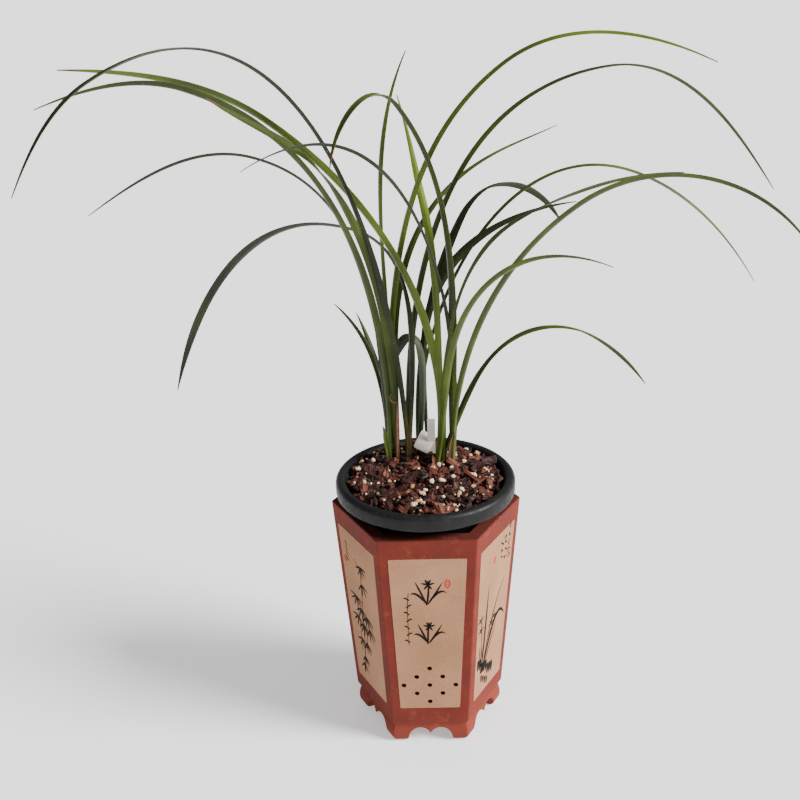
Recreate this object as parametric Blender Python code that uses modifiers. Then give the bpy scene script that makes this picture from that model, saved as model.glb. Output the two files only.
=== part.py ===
"""A cymbidium orchid with no flower, in a black nursery pot that stands inside a six-sided clay pot.

Metres, +Z up, front towards -Y. Everything is modelled about the upright axis that the two pots share,
with the clay pot's feet at height 0. At the end the whole object is slid sideways, so that the origin is
the centre of its footprint, leaves included.
"""

import math
from collections import namedtuple

import bmesh
import bpy
from mathutils import Matrix, Vector

MM = 0.001
GAP = 0.3 * MM  # air left between two pieces that touch

# Clay pot. A corner radius runs from the axis to one of the six upright edges.
SIDES = 6
TOP_CORNER = 85 * MM
BASE_CORNER = 70 * MM
BODY_HEIGHT = 200 * MM
CLAY_WALL = 7 * MM
CLAY_FLOOR = 10 * MM
RIM_WALL = 12 * MM  # wall at the rim, which is thickened inwards
RIM_DEPTH = 8 * MM  # height of the thickening
RIM_SLOPE = 7 * MM  # height over which it runs out below
CLAY_EDGE = 0.8 * MM  # rounding of the body's edges
EDGE_ANGLE = 40  # edges that turn by more degrees than this are rounded
DRAIN_RADIUS = 11 * MM

# Foot band under the clay body: a groove, a swelling and a rounded toe, cut by two arches on each side.
FOOT_HEIGHT = 24 * MM
FOOT_GROOVE = 3.2 * MM  # how far the groove lies in from the body's edge
FOOT_GROOVE_HEIGHT = 18.5 * MM
FOOT_GROOVE_WIDTH = 1.5 * MM
FOOT_GROOVE_START = 0.75  # where the groove starts, as a share of the swelling's rise
FOOT_SWELL = 6.5 * MM  # how far the swelling stands out from the toe
FOOT_SWELL_HEIGHT = 8 * MM
FOOT_TOE_CORNER = 62.5 * MM
FOOT_WALL = 7 * MM
ARCH_RADIUS = 10.8 * MM
ARCH_SPREAD = 9.5 * MM  # from the middle of a side to the centre of each arch
ARCH_SPRING = 5 * MM  # height of the arches' centres
ARCH_MOUTH = 1.2 * MM  # how much wider the opening is at the ground
ARCH_HEADROOM = 2.2 * MM  # from the top of the arches to the underside of the floor

# Air holes in the front panel, in a diamond lattice with rows of 1, 2, 3, 2 and 1.
HOLE_RADIUS = 2.3 * MM
HOLE_COLUMN = 11.7 * MM
HOLE_ROW = 9.6 * MM
HOLE_CENTRE_HEIGHT = 67.5 * MM
HOLE_REACH = 2  # rows above and below the middle row

# Nursery pot, a round pot that stands on the clay pot's floor.
NEST_GAP = 1 * MM  # air between it and the middle of each clay side, at the foot of the clay rim
NURSERY_BASE_RADIUS = 50 * MM
NURSERY_WALL = 1.2 * MM
NURSERY_BASE = 1.6 * MM
NURSERY_STAND = 25 * MM  # how far its lip stands above the clay rim
COLLAR_RADIUS = 69.6 * MM  # outside of the wall, just under the lip
COLLAR_ROUND = 0.5 * MM  # rounding where the wall meets the lip
COLLAR_STRAIGHT = 1 * MM  # upright stretch of the wall above and below the edge of the mix
LIP_RADIUS = 80 * MM
LIP_ROLL = 4.8 * MM  # radius of the lip's rolled top
LIP_DROP = 14.5 * MM  # height of the lip
LIP_HEM = 2.6 * MM  # radius of the lip's lower edge
SLOT_RADIUS = 5 * MM
SLOT_COUNT = 6
SLOT_CIRCLE = 33 * MM
NURSERY_STEPS = 44  # sides of its round shape

# Potting mix, filled to just below the lip and heaped a little towards the middle.
MIX_BELOW_LIP = 10 * MM
MIX_CROWN = 4.5 * MM
MIX_STEPS = 36  # sides of its round shape
MIX_RINGS = 4

# Bulbs, the short base of each shoot. Its leaves stand on it in columns, side by side, and in ranks,
# one behind the other.
COLUMN_PITCH = 7.4 * MM
RANK_PITCH = 3 * MM
BULB_DEPTH = 14 * MM
BULB_SHOW = 1.2 * MM  # how far it stands out of the mix
BULB_BORDER = 3.4 * MM  # bulb beyond the middle of its outermost leaf
BULB_TAPER = 0.86  # size of its foot against its top
BULB_ROUND = 0.8  # rounding of its corners, as a share of the border

# Leaves and sheaths
BLADE_THICKNESS = 0.8 * MM
BLADE_STEP = 26 * MM  # length of one stretch of a blade
BLADE_FEWEST = 7  # stretches in the shortest blade
BLADE_FOLD = 0.16  # depth of the fold along the midrib, as a share of half the width
BLADE_BASE = 0.62  # width at the bulb, as a share of the full width
BLADE_TIP = 0.14  # width of the blunted tip, as a share of the full width
BLADE_FULL = 0.35  # share of the length at which the full width is reached
BLADE_NARROWS = 0.7  # share of the length at which it starts to narrow
BLADE_DRAWN_OUT = 1.7  # how long the narrowing waits: 1 is straight sides
LEAST_TURN = 0.1  # a curve that turns by fewer degrees counts as turning by this
CURVE_STEPS = 40  # points measured along each half of a blade's centre line
SHEATH_FOLD = -0.4  # a sheath folds the other way, round the leaves behind it
SHEATH_BASE = 1  # it is at its full width at the bulb
UNTWISTED = 0.45  # share of the length over which a leaf turns from the bulb's facing to its own

# Label: a head on a flat stem that is pushed into the mix.
LABEL_THICKNESS = 1.0 * MM
LABEL_HEAD_WIDTH = 15 * MM
LABEL_HEAD_LENGTH = 18 * MM
LABEL_HEAD_CORNER = 2 * MM
LABEL_HEAD_HEIGHT = 21 * MM  # middle of the head above the mix
LABEL_LEAN = 38  # the head's slope back from upright, degrees
LABEL_ROLL = 28  # the head's turn in its own plane, degrees
LABEL_HEAD_SHIFT = 6 * MM  # how far the head's middle is to the left of the stem
LABEL_STEM_WIDTH = 7 * MM
LABEL_STEM_TOP = 44 * MM  # top of the stem above the mix
LABEL_BURIED = 12 * MM
LABEL_X = 6.5 * MM
LABEL_Y = 36 * MM

CORNER_STEPS = 3  # faces of a small rounded corner
ARCH_STEPS = 8  # faces of a large one
ROD_STEPS = 12  # sides of a small round cutter
DRAIN_STEPS = 24
THROUGH = 3  # length of a cutter, in thicknesses of what it goes through

# Worked out from the sizes above
CLAY_TOP = FOOT_HEIGHT + BODY_HEIGHT
CLAY_FLOOR_UNDER = ARCH_SPRING + ARCH_RADIUS + ARCH_HEADROOM
CLAY_FLOOR_TOP = CLAY_FLOOR_UNDER + CLAY_FLOOR
FLAT = math.cos(math.pi / SIDES)  # middle of a side, as a share of the corner radius
NURSERY_FOOT = CLAY_FLOOR_TOP + GAP
LIP_TOP = CLAY_TOP + NURSERY_STAND
MIX_EDGE = LIP_TOP - MIX_BELOW_LIP
MIX_RADIUS = COLLAR_RADIUS - NURSERY_WALL - GAP

Shoot = namedtuple("Shoot", "x y columns ranks")
SHOOTS = {
    "left": Shoot(-28.5 * MM, 34 * MM, 2, 4),
    "middle": Shoot(-14.5 * MM, 33 * MM, 1, 3),
    "back": Shoot(-2 * MM, 50 * MM, 2, 3),
    "right": Shoot(18 * MM, 21.5 * MM, 3, 4),
}

# A leaf rises from its bulb, bends over and falls to its tip, all in one upright plane.
# column, rank: its place on the bulb, counted from the left and from the front, 0 first.
# heading: the plane's direction, degrees anticlockwise from +X. rise: slope at the bulb, degrees.
# bend, tip: a point on the way and the far end, as (reach mm, height mm, slope degrees) from its foot.
# face: how far its upper face is turned to the front past the twist, degrees. width in mm.
Leaf = namedtuple("Leaf", "name shoot column rank heading rise bend tip width face")
LEAVES = [
    Leaf("leaf_left_1", "left", 0, 0, 204, 93, (153, 346, 21), (262, 340, -19), 8, 40),
    Leaf("leaf_left_2", "left", 0, 1, 192, 87, (103, 287, 18), (236, 249, -33), 6, 40),
    Leaf("leaf_left_3", "left", 0, 2, -24, 88, (107, 356, 36), (264, 359, -24), 7, 40),
    Leaf("leaf_left_4", "left", 0, 3, 180, 89, (13, 104, 72), (44, 154, 45), 6, 30),
    Leaf("leaf_left_5", "left", 1, 0, 225, 90, (66, 273, 52), (172, 347, 34), 7, 30),
    Leaf("leaf_left_6", "left", 1, 1, 15, 92, (-7, 183, 92), (17, 363, 63), 7, 40),
    Leaf("leaf_left_7", "left", 1, 2, 45, 87, (36, 215, 48), (224, 277, 9), 7, 20),
    Leaf("leaf_left_8", "left", 1, 3, 141, 81, (27, 104, 66), (44, 136, 54), 6, 20),
    Leaf("leaf_middle_1", "middle", 0, 0, 219, 88, (259, 363, -26), (319, 297, -61), 7, 30),
    Leaf("leaf_middle_2", "middle", 0, 1, 141, 92, (52, 211, 6), (330, -8, -68), 8, 40),
    Leaf("leaf_middle_3", "middle", 0, 2, 3, 91, (169, 345, 6), (314, 241, -55), 7, 40),
    Leaf("leaf_back_1", "back", 0, 0, 135, 100, (20, 107, -53), (46, 61, -58), 9, 40),
    Leaf("leaf_back_2", "back", 0, 1, 33, 92, (51, 219, 57), (165, 197, -57), 9, 20),
    Leaf("leaf_back_3", "back", 0, 2, 15, 92, (207, 248, -22), (337, 134, -56), 6, 40),
    Leaf("leaf_back_4", "back", 1, 0, 9, 86, (20, 176, 56), (136, 232, 3), 8, 30),
    Leaf("leaf_right_1", "right", 0, 0, -45, 77, (36, 157, 59), (179, 223, -10), 7, 30),
    Leaf("leaf_right_2", "right", 0, 2, 0, 63, (77, 127, 24), (185, 77, -55), 7, 20),
    Leaf("leaf_right_3", "right", 1, 0, -42, 92, (81, 243, 30), (215, 293, 6), 7, 30),
    Leaf("leaf_right_4", "right", 1, 1, 153, 84, (18, 246, 76), (39, 328, 70), 7, 20),
    Leaf("leaf_right_5", "right", 2, 3, 212, 97, (178, 293, -23), (184, 290, -26), 6, 30),
    Leaf("leaf_right_6", "right", 2, 0, -30, 92, (113, 254, 37), (286, 234, -55), 7, 30),
    Leaf("leaf_right_7", "right", 2, 1, 216, 88, (52, 327, 49), (114, 287, -82), 9, 40),
    Leaf("leaf_right_8", "right", 0, 3, 192, 100, (134, 318, 37), (282, 361, 3), 9, 15),
]

# Short sheaths at the foot of the shoots, described as leaves are. They stand in front of the first rank.
SHEATHS = [
    Leaf("new_shoot_left", "left", 0, -1, 180, 88, (2, 24, 80), (5, 41, 70), 6, 80),
    Leaf("dry_bract_left", "left", 1, -1, 0, 88, (1, 40, 89), (1, 66, 92), 5, 80),
    Leaf("brown_sheath_middle", "middle", 0, -1, 0, 90, (0, 24, 90), (1, 42, 86), 6, 80),
    Leaf("bract_right", "right", -0.1, -1, 180, 84, (1, 9, 80), (3, 16, 70), 5, 80),
    Leaf("sheath_right", "right", 1.65, -1, 0, 88, (1, 22, 86), (4, 39, 76), 7, 80),
]

PLASTIC_BLACK = ("black_plastic", (0.035, 0.035, 0.038), 0.42)
CLAY_RED = ("red_clay", (0.27, 0.045, 0.026), 0.8)
BARK = ("bark_mix", (0.085, 0.03, 0.018), 0.9)
LEAF_GREEN = ("leaf_green", (0.075, 0.14, 0.025), 0.45)
BULB_GREEN = ("bulb_green", (0.16, 0.17, 0.05), 0.6)
SHEATH_BROWN = ("sheath_brown", (0.22, 0.1, 0.06), 0.7)
LABEL_WHITE = ("label_white", (0.7, 0.66, 0.62), 0.5)


def clear_scene():
    for obj in list(bpy.data.objects):
        bpy.data.objects.remove(obj, do_unlink=True)


def new_collection(name, shown=True):
    collection = bpy.data.collections.new(name)
    bpy.context.scene.collection.children.link(collection)
    collection.hide_render = not shown
    return collection


def finish_of(name, colour, roughness):
    """The named Principled material, made once."""
    found = bpy.data.materials.get(name)
    if found:
        return found
    made = bpy.data.materials.new(name)
    made.use_nodes = True
    shader = made.node_tree.nodes["Principled BSDF"]
    shader.inputs["Base Color"].default_value = (*colour, 1)
    shader.inputs["Roughness"].default_value = roughness
    made.diffuse_color = (*colour, 1)
    return made


def piece(name, mesh, finish):
    """A visible sub-part: an object in the model's collection, carried by the pots' axis."""
    obj = bpy.data.objects.new(name, mesh)
    mesh.materials.append(finish_of(*finish))
    MODEL.objects.link(obj)
    obj.parent = AXIS
    return obj


def cutter(name, mesh):
    obj = bpy.data.objects.new(name, mesh)
    CUTTERS.objects.link(obj)
    obj.parent = AXIS
    obj.hide_render = True
    obj.display_type = "WIRE"
    return obj


def cut(obj, tool):
    modifier = obj.modifiers.new(tool.name, "BOOLEAN")
    modifier.operation = "DIFFERENCE"
    modifier.solver = "EXACT"
    modifier.object = tool


def mesh_from(name, build):
    """A mesh made by build(bm)."""
    bm = bmesh.new()
    build(bm)
    mesh = bpy.data.meshes.new(name)
    bm.to_mesh(mesh)
    bm.free()
    return mesh


def turned(name, outline, steps, finish, smooth):
    """Turns an outline of (radius, height) round the axis. It runs down the outer side."""

    def build(bm):
        points = [bm.verts.new((radius, 0, height)) for radius, height in outline]
        for first, second in zip(points, points[1:]):
            bm.edges.new((first, second))

    obj = piece(name, mesh_from(name, build), finish)
    screw = obj.modifiers.new("turn", "SCREW")
    screw.steps = steps
    screw.render_steps = steps
    screw.use_smooth_shade = smooth
    screw.use_merge_vertices = True
    screw.merge_threshold = 0.01 * MM
    return obj


def arc(centre, radii, start, end, steps):
    """Points (x, y) along an elliptic arc, its angles in degrees."""
    angles = [math.radians(start + (end - start) * step / steps) for step in range(steps + 1)]
    return [(centre[0] + radii[0] * math.cos(a), centre[1] + radii[1] * math.sin(a)) for a in angles]


def outline_mesh(name, points, depth):
    """A flat outline in XZ, given as (x, z), made depth thick along Y about y = 0."""
    flat = bpy.data.curves.new(name, "CURVE")
    flat.dimensions = "2D"
    flat.fill_mode = "BOTH"
    flat.extrude = depth / 2
    spline = flat.splines.new("POLY")
    spline.points.add(len(points) - 1)
    for point, (x, y) in zip(spline.points, points):
        point.co = (x, y, 0, 1)
    spline.use_cyclic_u = True
    guide = bpy.data.objects.new(name, flat)
    bpy.context.scene.collection.objects.link(guide)
    bpy.context.view_layer.update()
    graph = bpy.context.evaluated_depsgraph_get()
    mesh = bpy.data.meshes.new_from_object(guide.evaluated_get(graph))
    bpy.data.objects.remove(guide)
    bpy.data.curves.remove(flat)
    bm = bmesh.new()
    bm.from_mesh(mesh)
    bmesh.ops.remove_doubles(bm, verts=bm.verts, dist=0.001 * MM)
    bmesh.ops.rotate(bm, verts=bm.verts, matrix=Matrix.Rotation(math.pi / 2, 3, "X"))
    bmesh.ops.recalc_face_normals(bm, faces=bm.faces)
    bm.to_mesh(mesh)
    bm.free()
    return mesh


def rods_mesh(name, radius, length, placings, steps):
    """One mesh of round rods along local Z, one for each placing matrix."""

    def build(bm):
        for placing in placings:
            bmesh.ops.create_cone(
                bm,
                cap_ends=True,
                segments=steps,
                radius1=radius,
                radius2=radius,
                depth=length,
                matrix=placing,
            )

    return mesh_from(name, build)


def clay_corner(height):
    """Corner radius of the clay body's outside at a height."""
    return BASE_CORNER + (TOP_CORNER - BASE_CORNER) * (height - FOOT_HEIGHT) / BODY_HEIGHT


def make_clay_pot():
    """A six-step turning makes the six-sided body, and its feet are left between cut arches."""
    wall = CLAY_WALL / FLAT
    rim_wall = RIM_WALL / FLAT
    slope_foot = CLAY_TOP - RIM_DEPTH - RIM_SLOPE
    toe, swell = FOOT_TOE_CORNER, FOOT_SWELL_HEIGHT
    groove_rise = (FOOT_GROOVE_HEIGHT - swell) / FOOT_GROOVE_START
    groove_angle = math.degrees(math.asin(FOOT_GROOVE_START))
    foot = arc((toe, swell), (FOOT_SWELL, groove_rise), groove_angle, 0, CORNER_STEPS)
    toe_round = arc((toe, swell), (FOOT_SWELL, swell), 0, -90, CORNER_STEPS)[1:]
    inside_foot = toe - FOOT_WALL / FLAT
    outline = [
        (0, CLAY_FLOOR_TOP),
        (clay_corner(CLAY_FLOOR_TOP) - wall, CLAY_FLOOR_TOP),
        (clay_corner(slope_foot) - wall, slope_foot),
        (clay_corner(CLAY_TOP - RIM_DEPTH) - rim_wall, CLAY_TOP - RIM_DEPTH),
        (TOP_CORNER - rim_wall, CLAY_TOP),
        (TOP_CORNER, CLAY_TOP),
        (BASE_CORNER, FOOT_HEIGHT),
        (BASE_CORNER - FOOT_GROOVE, FOOT_GROOVE_HEIGHT + FOOT_GROOVE_WIDTH),
        *foot,
        *toe_round,
        (inside_foot, 0),
        (inside_foot, CLAY_FLOOR_UNDER),
        (0, CLAY_FLOOR_UNDER),
    ]
    pot = turned("clay_pot", outline, SIDES, CLAY_RED, smooth=False)
    edges = pot.modifiers.new("edges", "BEVEL")
    edges.width = CLAY_EDGE
    edges.segments = 1
    edges.limit_method = "ANGLE"
    edges.angle_limit = math.radians(EDGE_ANGLE)

    reach = 2 * BASE_CORNER + 2 * FOOT_HEIGHT
    mouth = ARCH_SPREAD + ARCH_RADIUS + ARCH_MOUTH
    cusp = math.degrees(math.acos(ARCH_SPREAD / ARCH_RADIUS))
    right_arch = arc((ARCH_SPREAD, ARCH_SPRING), (ARCH_RADIUS, ARCH_RADIUS), 0, 180 - cusp, ARCH_STEPS)
    left_arch = [(-x, z) for x, z in reversed(right_arch[:-1])]
    below = -FOOT_HEIGHT
    arches = [(-mouth, below), (mouth, below), (mouth, 0), *right_arch, *left_arch, (-mouth, 0)]
    for side in range(SIDES // 2):
        tool = cutter(f"arch_cutter_{side}", outline_mesh("arches", arches, reach))
        tool.rotation_euler.z = side * 2 * math.pi / SIDES
        cut(pot, tool)

    placings = []
    for row in range(-HOLE_REACH, HOLE_REACH + 1):
        widest = HOLE_REACH - abs(row)
        for column in range(-widest, widest + 1, 2):
            height = HOLE_CENTRE_HEIGHT + row * HOLE_ROW
            wall_middle = (clay_corner(height) - wall / 2) * FLAT
            place = Matrix.Translation((column * HOLE_COLUMN, -wall_middle, height))
            placings.append(place @ Matrix.Rotation(math.pi / 2, 4, "X"))
    air_holes = rods_mesh("air_holes", HOLE_RADIUS, THROUGH * CLAY_WALL, placings, ROD_STEPS)
    cut(pot, cutter("air_hole_cutter", air_holes))

    drain = Matrix.Translation((0, 0, CLAY_FLOOR_UNDER + CLAY_FLOOR / 2))
    drain_hole = rods_mesh("drain", DRAIN_RADIUS, THROUGH * CLAY_FLOOR, [drain], DRAIN_STEPS)
    cut(pot, cutter("drain_cutter", drain_hole))


def nursery_rim_radius():
    """Outside of the nursery pot's wall where it passes the clay rim."""
    return clay_corner(CLAY_TOP - RIM_DEPTH) * FLAT - RIM_WALL - NEST_GAP


def make_nursery_pot():
    roll_height = LIP_TOP - LIP_ROLL
    roll_middle = LIP_RADIUS - LIP_ROLL
    hem_height = LIP_TOP - LIP_DROP + LIP_HEM
    hem_middle = LIP_RADIUS - LIP_HEM
    collar_height = LIP_TOP - LIP_DROP
    inner_base = NURSERY_FOOT + NURSERY_BASE
    outline = [
        (0, inner_base),
        (NURSERY_BASE_RADIUS - NURSERY_WALL, inner_base),
        (nursery_rim_radius() - NURSERY_WALL, CLAY_TOP),
        (COLLAR_RADIUS - NURSERY_WALL, MIX_EDGE - COLLAR_STRAIGHT),
        (COLLAR_RADIUS - NURSERY_WALL, MIX_EDGE + COLLAR_STRAIGHT),
        *arc((roll_middle, roll_height), (LIP_ROLL, LIP_ROLL), 180, 0, ARCH_STEPS),
        *arc((hem_middle, hem_height), (LIP_HEM, LIP_HEM), 0, -90, CORNER_STEPS),
        (COLLAR_RADIUS + COLLAR_ROUND, collar_height),
        (nursery_rim_radius(), CLAY_TOP),
        (NURSERY_BASE_RADIUS, NURSERY_FOOT),
        (0, NURSERY_FOOT),
    ]
    pot = turned("nursery_pot", outline, NURSERY_STEPS, PLASTIC_BLACK, smooth=True)
    base = NURSERY_FOOT + NURSERY_BASE / 2
    placings = [Matrix.Translation((0, 0, base))]
    for slot in range(SLOT_COUNT):
        turn = Matrix.Rotation(slot * 2 * math.pi / SLOT_COUNT, 4, "Z")
        placings.append(turn @ Matrix.Translation((SLOT_CIRCLE, 0, base)))
    slots = rods_mesh("slots", SLOT_RADIUS, THROUGH * NURSERY_BASE, placings, ROD_STEPS)
    cut(pot, cutter("slot_cutter", slots))


def mix_height(x, y):
    """Top of the potting mix at a place."""
    return MIX_EDGE + MIX_CROWN * (1 - (x * x + y * y) / MIX_RADIUS**2)


def make_potting_mix():
    foot = NURSERY_FOOT + NURSERY_BASE + GAP
    rings = [MIX_RADIUS * ring / MIX_RINGS for ring in range(MIX_RINGS)]
    top = [(radius, mix_height(radius, 0)) for radius in rings]
    outline = [
        *top,
        (MIX_RADIUS, MIX_EDGE),
        (MIX_RADIUS, MIX_EDGE - COLLAR_STRAIGHT),
        (nursery_rim_radius() - NURSERY_WALL - 2 * GAP, CLAY_TOP),
        (NURSERY_BASE_RADIUS - NURSERY_WALL - GAP, foot),
        (0, foot),
    ]
    return turned("potting_mix", outline, MIX_STEPS, BARK, smooth=True)


def bulb_sizes(shoot):
    """Half sizes of a bulb's top, along X and Y, round the feet of its leaves."""
    half_x = (shoot.columns - 1) / 2 * COLUMN_PITCH + BULB_BORDER
    half_y = (shoot.ranks - 1) / 2 * RANK_PITCH + BULB_BORDER
    return half_x, half_y


def bulb_top(shoot):
    return mix_height(shoot.x, shoot.y) + BULB_SHOW


def bulb_mesh(name, shoot, spare):
    """A rounded box that narrows towards its foot, larger by spare on every side."""
    half_x, half_y = bulb_sizes(shoot)
    height = BULB_SHOW + BULB_DEPTH
    round_off = BULB_BORDER * BULB_ROUND

    def build(bm):
        rim = []
        for side_x, side_y, start in ((1, 1, 0), (-1, 1, 90), (-1, -1, 180), (1, -1, 270)):
            centre = (side_x * (half_x - round_off), side_y * (half_y - round_off))
            radius = round_off + spare
            rim += arc(centre, (radius, radius), start, start + 90, CORNER_STEPS)
        face = bm.faces.new([bm.verts.new((x, y, 0)) for x, y in rim])
        foot = bmesh.ops.extrude_face_region(bm, geom=[face])["geom"]
        foot_verts = [item for item in foot if isinstance(item, bmesh.types.BMVert)]
        bmesh.ops.translate(bm, verts=foot_verts, vec=(0, 0, -height - spare))
        bmesh.ops.scale(bm, verts=foot_verts, vec=(BULB_TAPER, BULB_TAPER, 1))
        bmesh.ops.recalc_face_normals(bm, faces=bm.faces)

    return mesh_from(name, build)


def make_bulb(name, shoot, mix):
    top = bulb_top(shoot)
    bulb = piece(f"bulb_{name}", bulb_mesh(name, shoot, 0), BULB_GREEN)
    bulb.location = (shoot.x, shoot.y, top)
    socket = cutter(f"socket_cutter_{name}", bulb_mesh(f"socket_{name}", shoot, GAP))
    socket.location = (shoot.x, shoot.y, top)
    cut(mix, socket)


def bezier(start, start_slope, end, end_slope, share):
    """A point at share 0 to 1 of a curve between two points whose slopes, in degrees, are given.
    Its handles are as long as those that draw a circular arc through the same turn."""
    turn = math.radians(max(abs(end_slope - start_slope), LEAST_TURN))
    handle = (end - start).length * 2 / 3 * math.tan(turn / 4) / math.sin(turn / 2)
    leaving, arriving = math.radians(start_slope), math.radians(end_slope)
    first = start + handle * Vector((math.cos(leaving), math.sin(leaving)))
    second = end - handle * Vector((math.cos(arriving), math.sin(arriving)))
    rest = 1 - share
    return rest**3 * start + 3 * rest**2 * share * first + 3 * rest * share**2 * second + share**3 * end


def centre_line(leaf):
    """Points (reach, height) from the leaf's foot to its tip, about BLADE_STEP apart."""
    foot = Vector((0, 0))
    bend = Vector(leaf.bend[:2]) * MM
    tip = Vector(leaf.tip[:2]) * MM
    shares = [step / CURVE_STEPS for step in range(CURVE_STEPS + 1)]
    fine = [bezier(foot, leaf.rise, bend, leaf.bend[2], share) for share in shares]
    fine += [bezier(bend, leaf.bend[2], tip, leaf.tip[2], share) for share in shares[1:]]
    run = [0.0]
    for before, after in zip(fine, fine[1:]):
        run.append(run[-1] + (after - before).length)
    count = max(BLADE_FEWEST, round(run[-1] / BLADE_STEP))
    line = []
    place = 0
    for step in range(count + 1):
        wanted = run[-1] * step / count
        while place < len(run) - 2 and run[place + 1] < wanted:
            place += 1
        share = (wanted - run[place]) / (run[place + 1] - run[place])
        line.append(fine[place].lerp(fine[place + 1], share))
    return line


def smoothstep(share):
    share = min(max(share, 0), 1)
    return share * share * (3 - 2 * share)


def blade_width(share, at_bulb):
    """Width along a leaf, as a share of its full width, from its share at the bulb to a drawn-out tip."""
    base = at_bulb + (1 - at_bulb) * smoothstep(share / BLADE_FULL)
    narrowing = max(0, (share - BLADE_NARROWS) / (1 - BLADE_NARROWS)) ** BLADE_DRAWN_OUT
    return base * (1 - (1 - BLADE_TIP) * narrowing)


def make_leaf(leaf, finish, fold, at_bulb):
    """An open strip, folded along its midrib and twisted, which Solidify makes a closed blade."""
    shoot = SHOOTS[leaf.shoot]
    heading = math.radians(leaf.heading)
    along = Vector((math.cos(heading), math.sin(heading), 0))
    across = Vector((-math.sin(heading), math.cos(heading), 0))
    up = Vector((0, 0, 1))
    line = [along * point.x + up * point.y for point in centre_line(leaf)]
    turn_at_bulb = math.atan2(math.cos(heading), math.sin(heading))  # the blade faces the front there
    turn_beyond = math.copysign(math.radians(leaf.face), math.cos(heading))
    root = Vector((
        shoot.x + (leaf.column - (shoot.columns - 1) / 2) * COLUMN_PITCH,
        shoot.y + (leaf.rank - (shoot.ranks - 1) / 2) * RANK_PITCH,
        bulb_top(shoot) + GAP,
    ))

    def build(bm):
        rows = []
        for place, point in enumerate(line):
            share = place / (len(line) - 1)
            ahead = line[min(place + 1, len(line) - 1)] - line[max(place - 1, 0)]
            tangent = ahead.normalized()
            turn = turn_at_bulb + (turn_beyond - turn_at_bulb) * smoothstep(share / UNTWISTED)
            side = Matrix.Rotation(turn, 3, tangent) @ across
            normal = tangent.cross(side)
            half = leaf.width * MM / 2 * blade_width(share, at_bulb)
            middle = point - normal * half * fold
            rows.append([bm.verts.new(at) for at in (point - side * half, middle, point + side * half)])
        for near, far in zip(rows, rows[1:]):
            for left in (0, 1):
                bm.faces.new((near[left], near[left + 1], far[left + 1], far[left]))
        bmesh.ops.recalc_face_normals(bm, faces=bm.faces)
        lowest = min(vert.co.z for vert in rows[0])
        bmesh.ops.translate(bm, verts=bm.verts, vec=(0, 0, -lowest))

    blade = piece(leaf.name, mesh_from(leaf.name, build), finish)
    blade.location = root
    thick = blade.modifiers.new("thickness", "SOLIDIFY")
    thick.thickness = BLADE_THICKNESS
    thick.offset = 0
    blade.data.shade_smooth()


def place_label(tool):
    """Puts a label piece, modelled about the middle of the head, at the label's place."""
    tool.location = (LABEL_X, LABEL_Y, mix_height(LABEL_X, LABEL_Y))


def label_stem_mesh(name, spare):
    """The flat stem, from its buried foot to its top, larger by spare on every side."""
    length = LABEL_STEM_TOP + LABEL_BURIED + spare
    size = Vector((LABEL_STEM_WIDTH + 2 * spare, LABEL_THICKNESS + 2 * spare, length))
    middle = Matrix.Translation((0, 0, LABEL_STEM_TOP - length / 2))

    def build(bm):
        bmesh.ops.create_cube(bm, size=1, matrix=middle @ Matrix.Diagonal((*size, 1)))

    return mesh_from(name, build)


def make_label(mix):
    label = piece("plant_label", label_stem_mesh("plant_label", 0), LABEL_WHITE)
    place_label(label)
    half_width = LABEL_HEAD_WIDTH / 2
    half_length = LABEL_HEAD_LENGTH / 2
    corner = LABEL_HEAD_CORNER
    rim = []
    for x, z, start in ((1, 1, 0), (-1, 1, 90), (-1, -1, 180), (1, -1, 270)):
        centre = (x * (half_width - corner), z * (half_length - corner))
        rim += arc(centre, (corner, corner), start, start + 90, CORNER_STEPS)
    head = cutter("label_head", outline_mesh("label_head", rim, LABEL_THICKNESS))
    place_label(head)
    head.location.x -= LABEL_HEAD_SHIFT
    head.location.z += LABEL_HEAD_HEIGHT
    lean = Matrix.Rotation(-math.radians(LABEL_LEAN), 4, "X")
    head.rotation_euler = (lean @ Matrix.Rotation(math.radians(LABEL_ROLL), 4, "Y")).to_euler()
    join = label.modifiers.new("head", "BOOLEAN")
    join.operation = "UNION"
    join.solver = "EXACT"
    join.object = head
    socket = cutter("label_socket", label_stem_mesh("label_socket", GAP))
    place_label(socket)
    cut(mix, socket)


def settle_on_origin():
    """Slides the pots' axis so that the middle of the footprint of all pieces lies at the origin."""
    bpy.context.view_layer.update()
    graph = bpy.context.evaluated_depsgraph_get()
    corners = []
    for obj in MODEL.objects:
        if obj is AXIS:
            continue
        done = obj.evaluated_get(graph)
        mesh = done.to_mesh()
        corners += [done.matrix_world @ vert.co for vert in mesh.vertices]
        done.to_mesh_clear()
    low = [min(corner[axis] for corner in corners) for axis in range(3)]
    high = [max(corner[axis] for corner in corners) for axis in range(3)]
    AXIS.location = (-(low[0] + high[0]) / 2, -(low[1] + high[1]) / 2, -low[2])
    print("footprint centre moved by", [round(value / MM, 2) for value in AXIS.location])


clear_scene()
MODEL = new_collection("potted_orchid")
CUTTERS = new_collection("cutters", shown=False)
AXIS = bpy.data.objects.new("pot_axis", None)
MODEL.objects.link(AXIS)

make_clay_pot()
make_nursery_pot()
potting_mix = make_potting_mix()
for shoot_name, place in SHOOTS.items():
    make_bulb(shoot_name, place, potting_mix)
for leaf_row in LEAVES:
    make_leaf(leaf_row, LEAF_GREEN, BLADE_FOLD, BLADE_BASE)
for sheath_row in SHEATHS:
    make_leaf(sheath_row, SHEATH_BROWN, SHEATH_FOLD, SHEATH_BASE)
make_label(potting_mix)
settle_on_origin()
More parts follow.
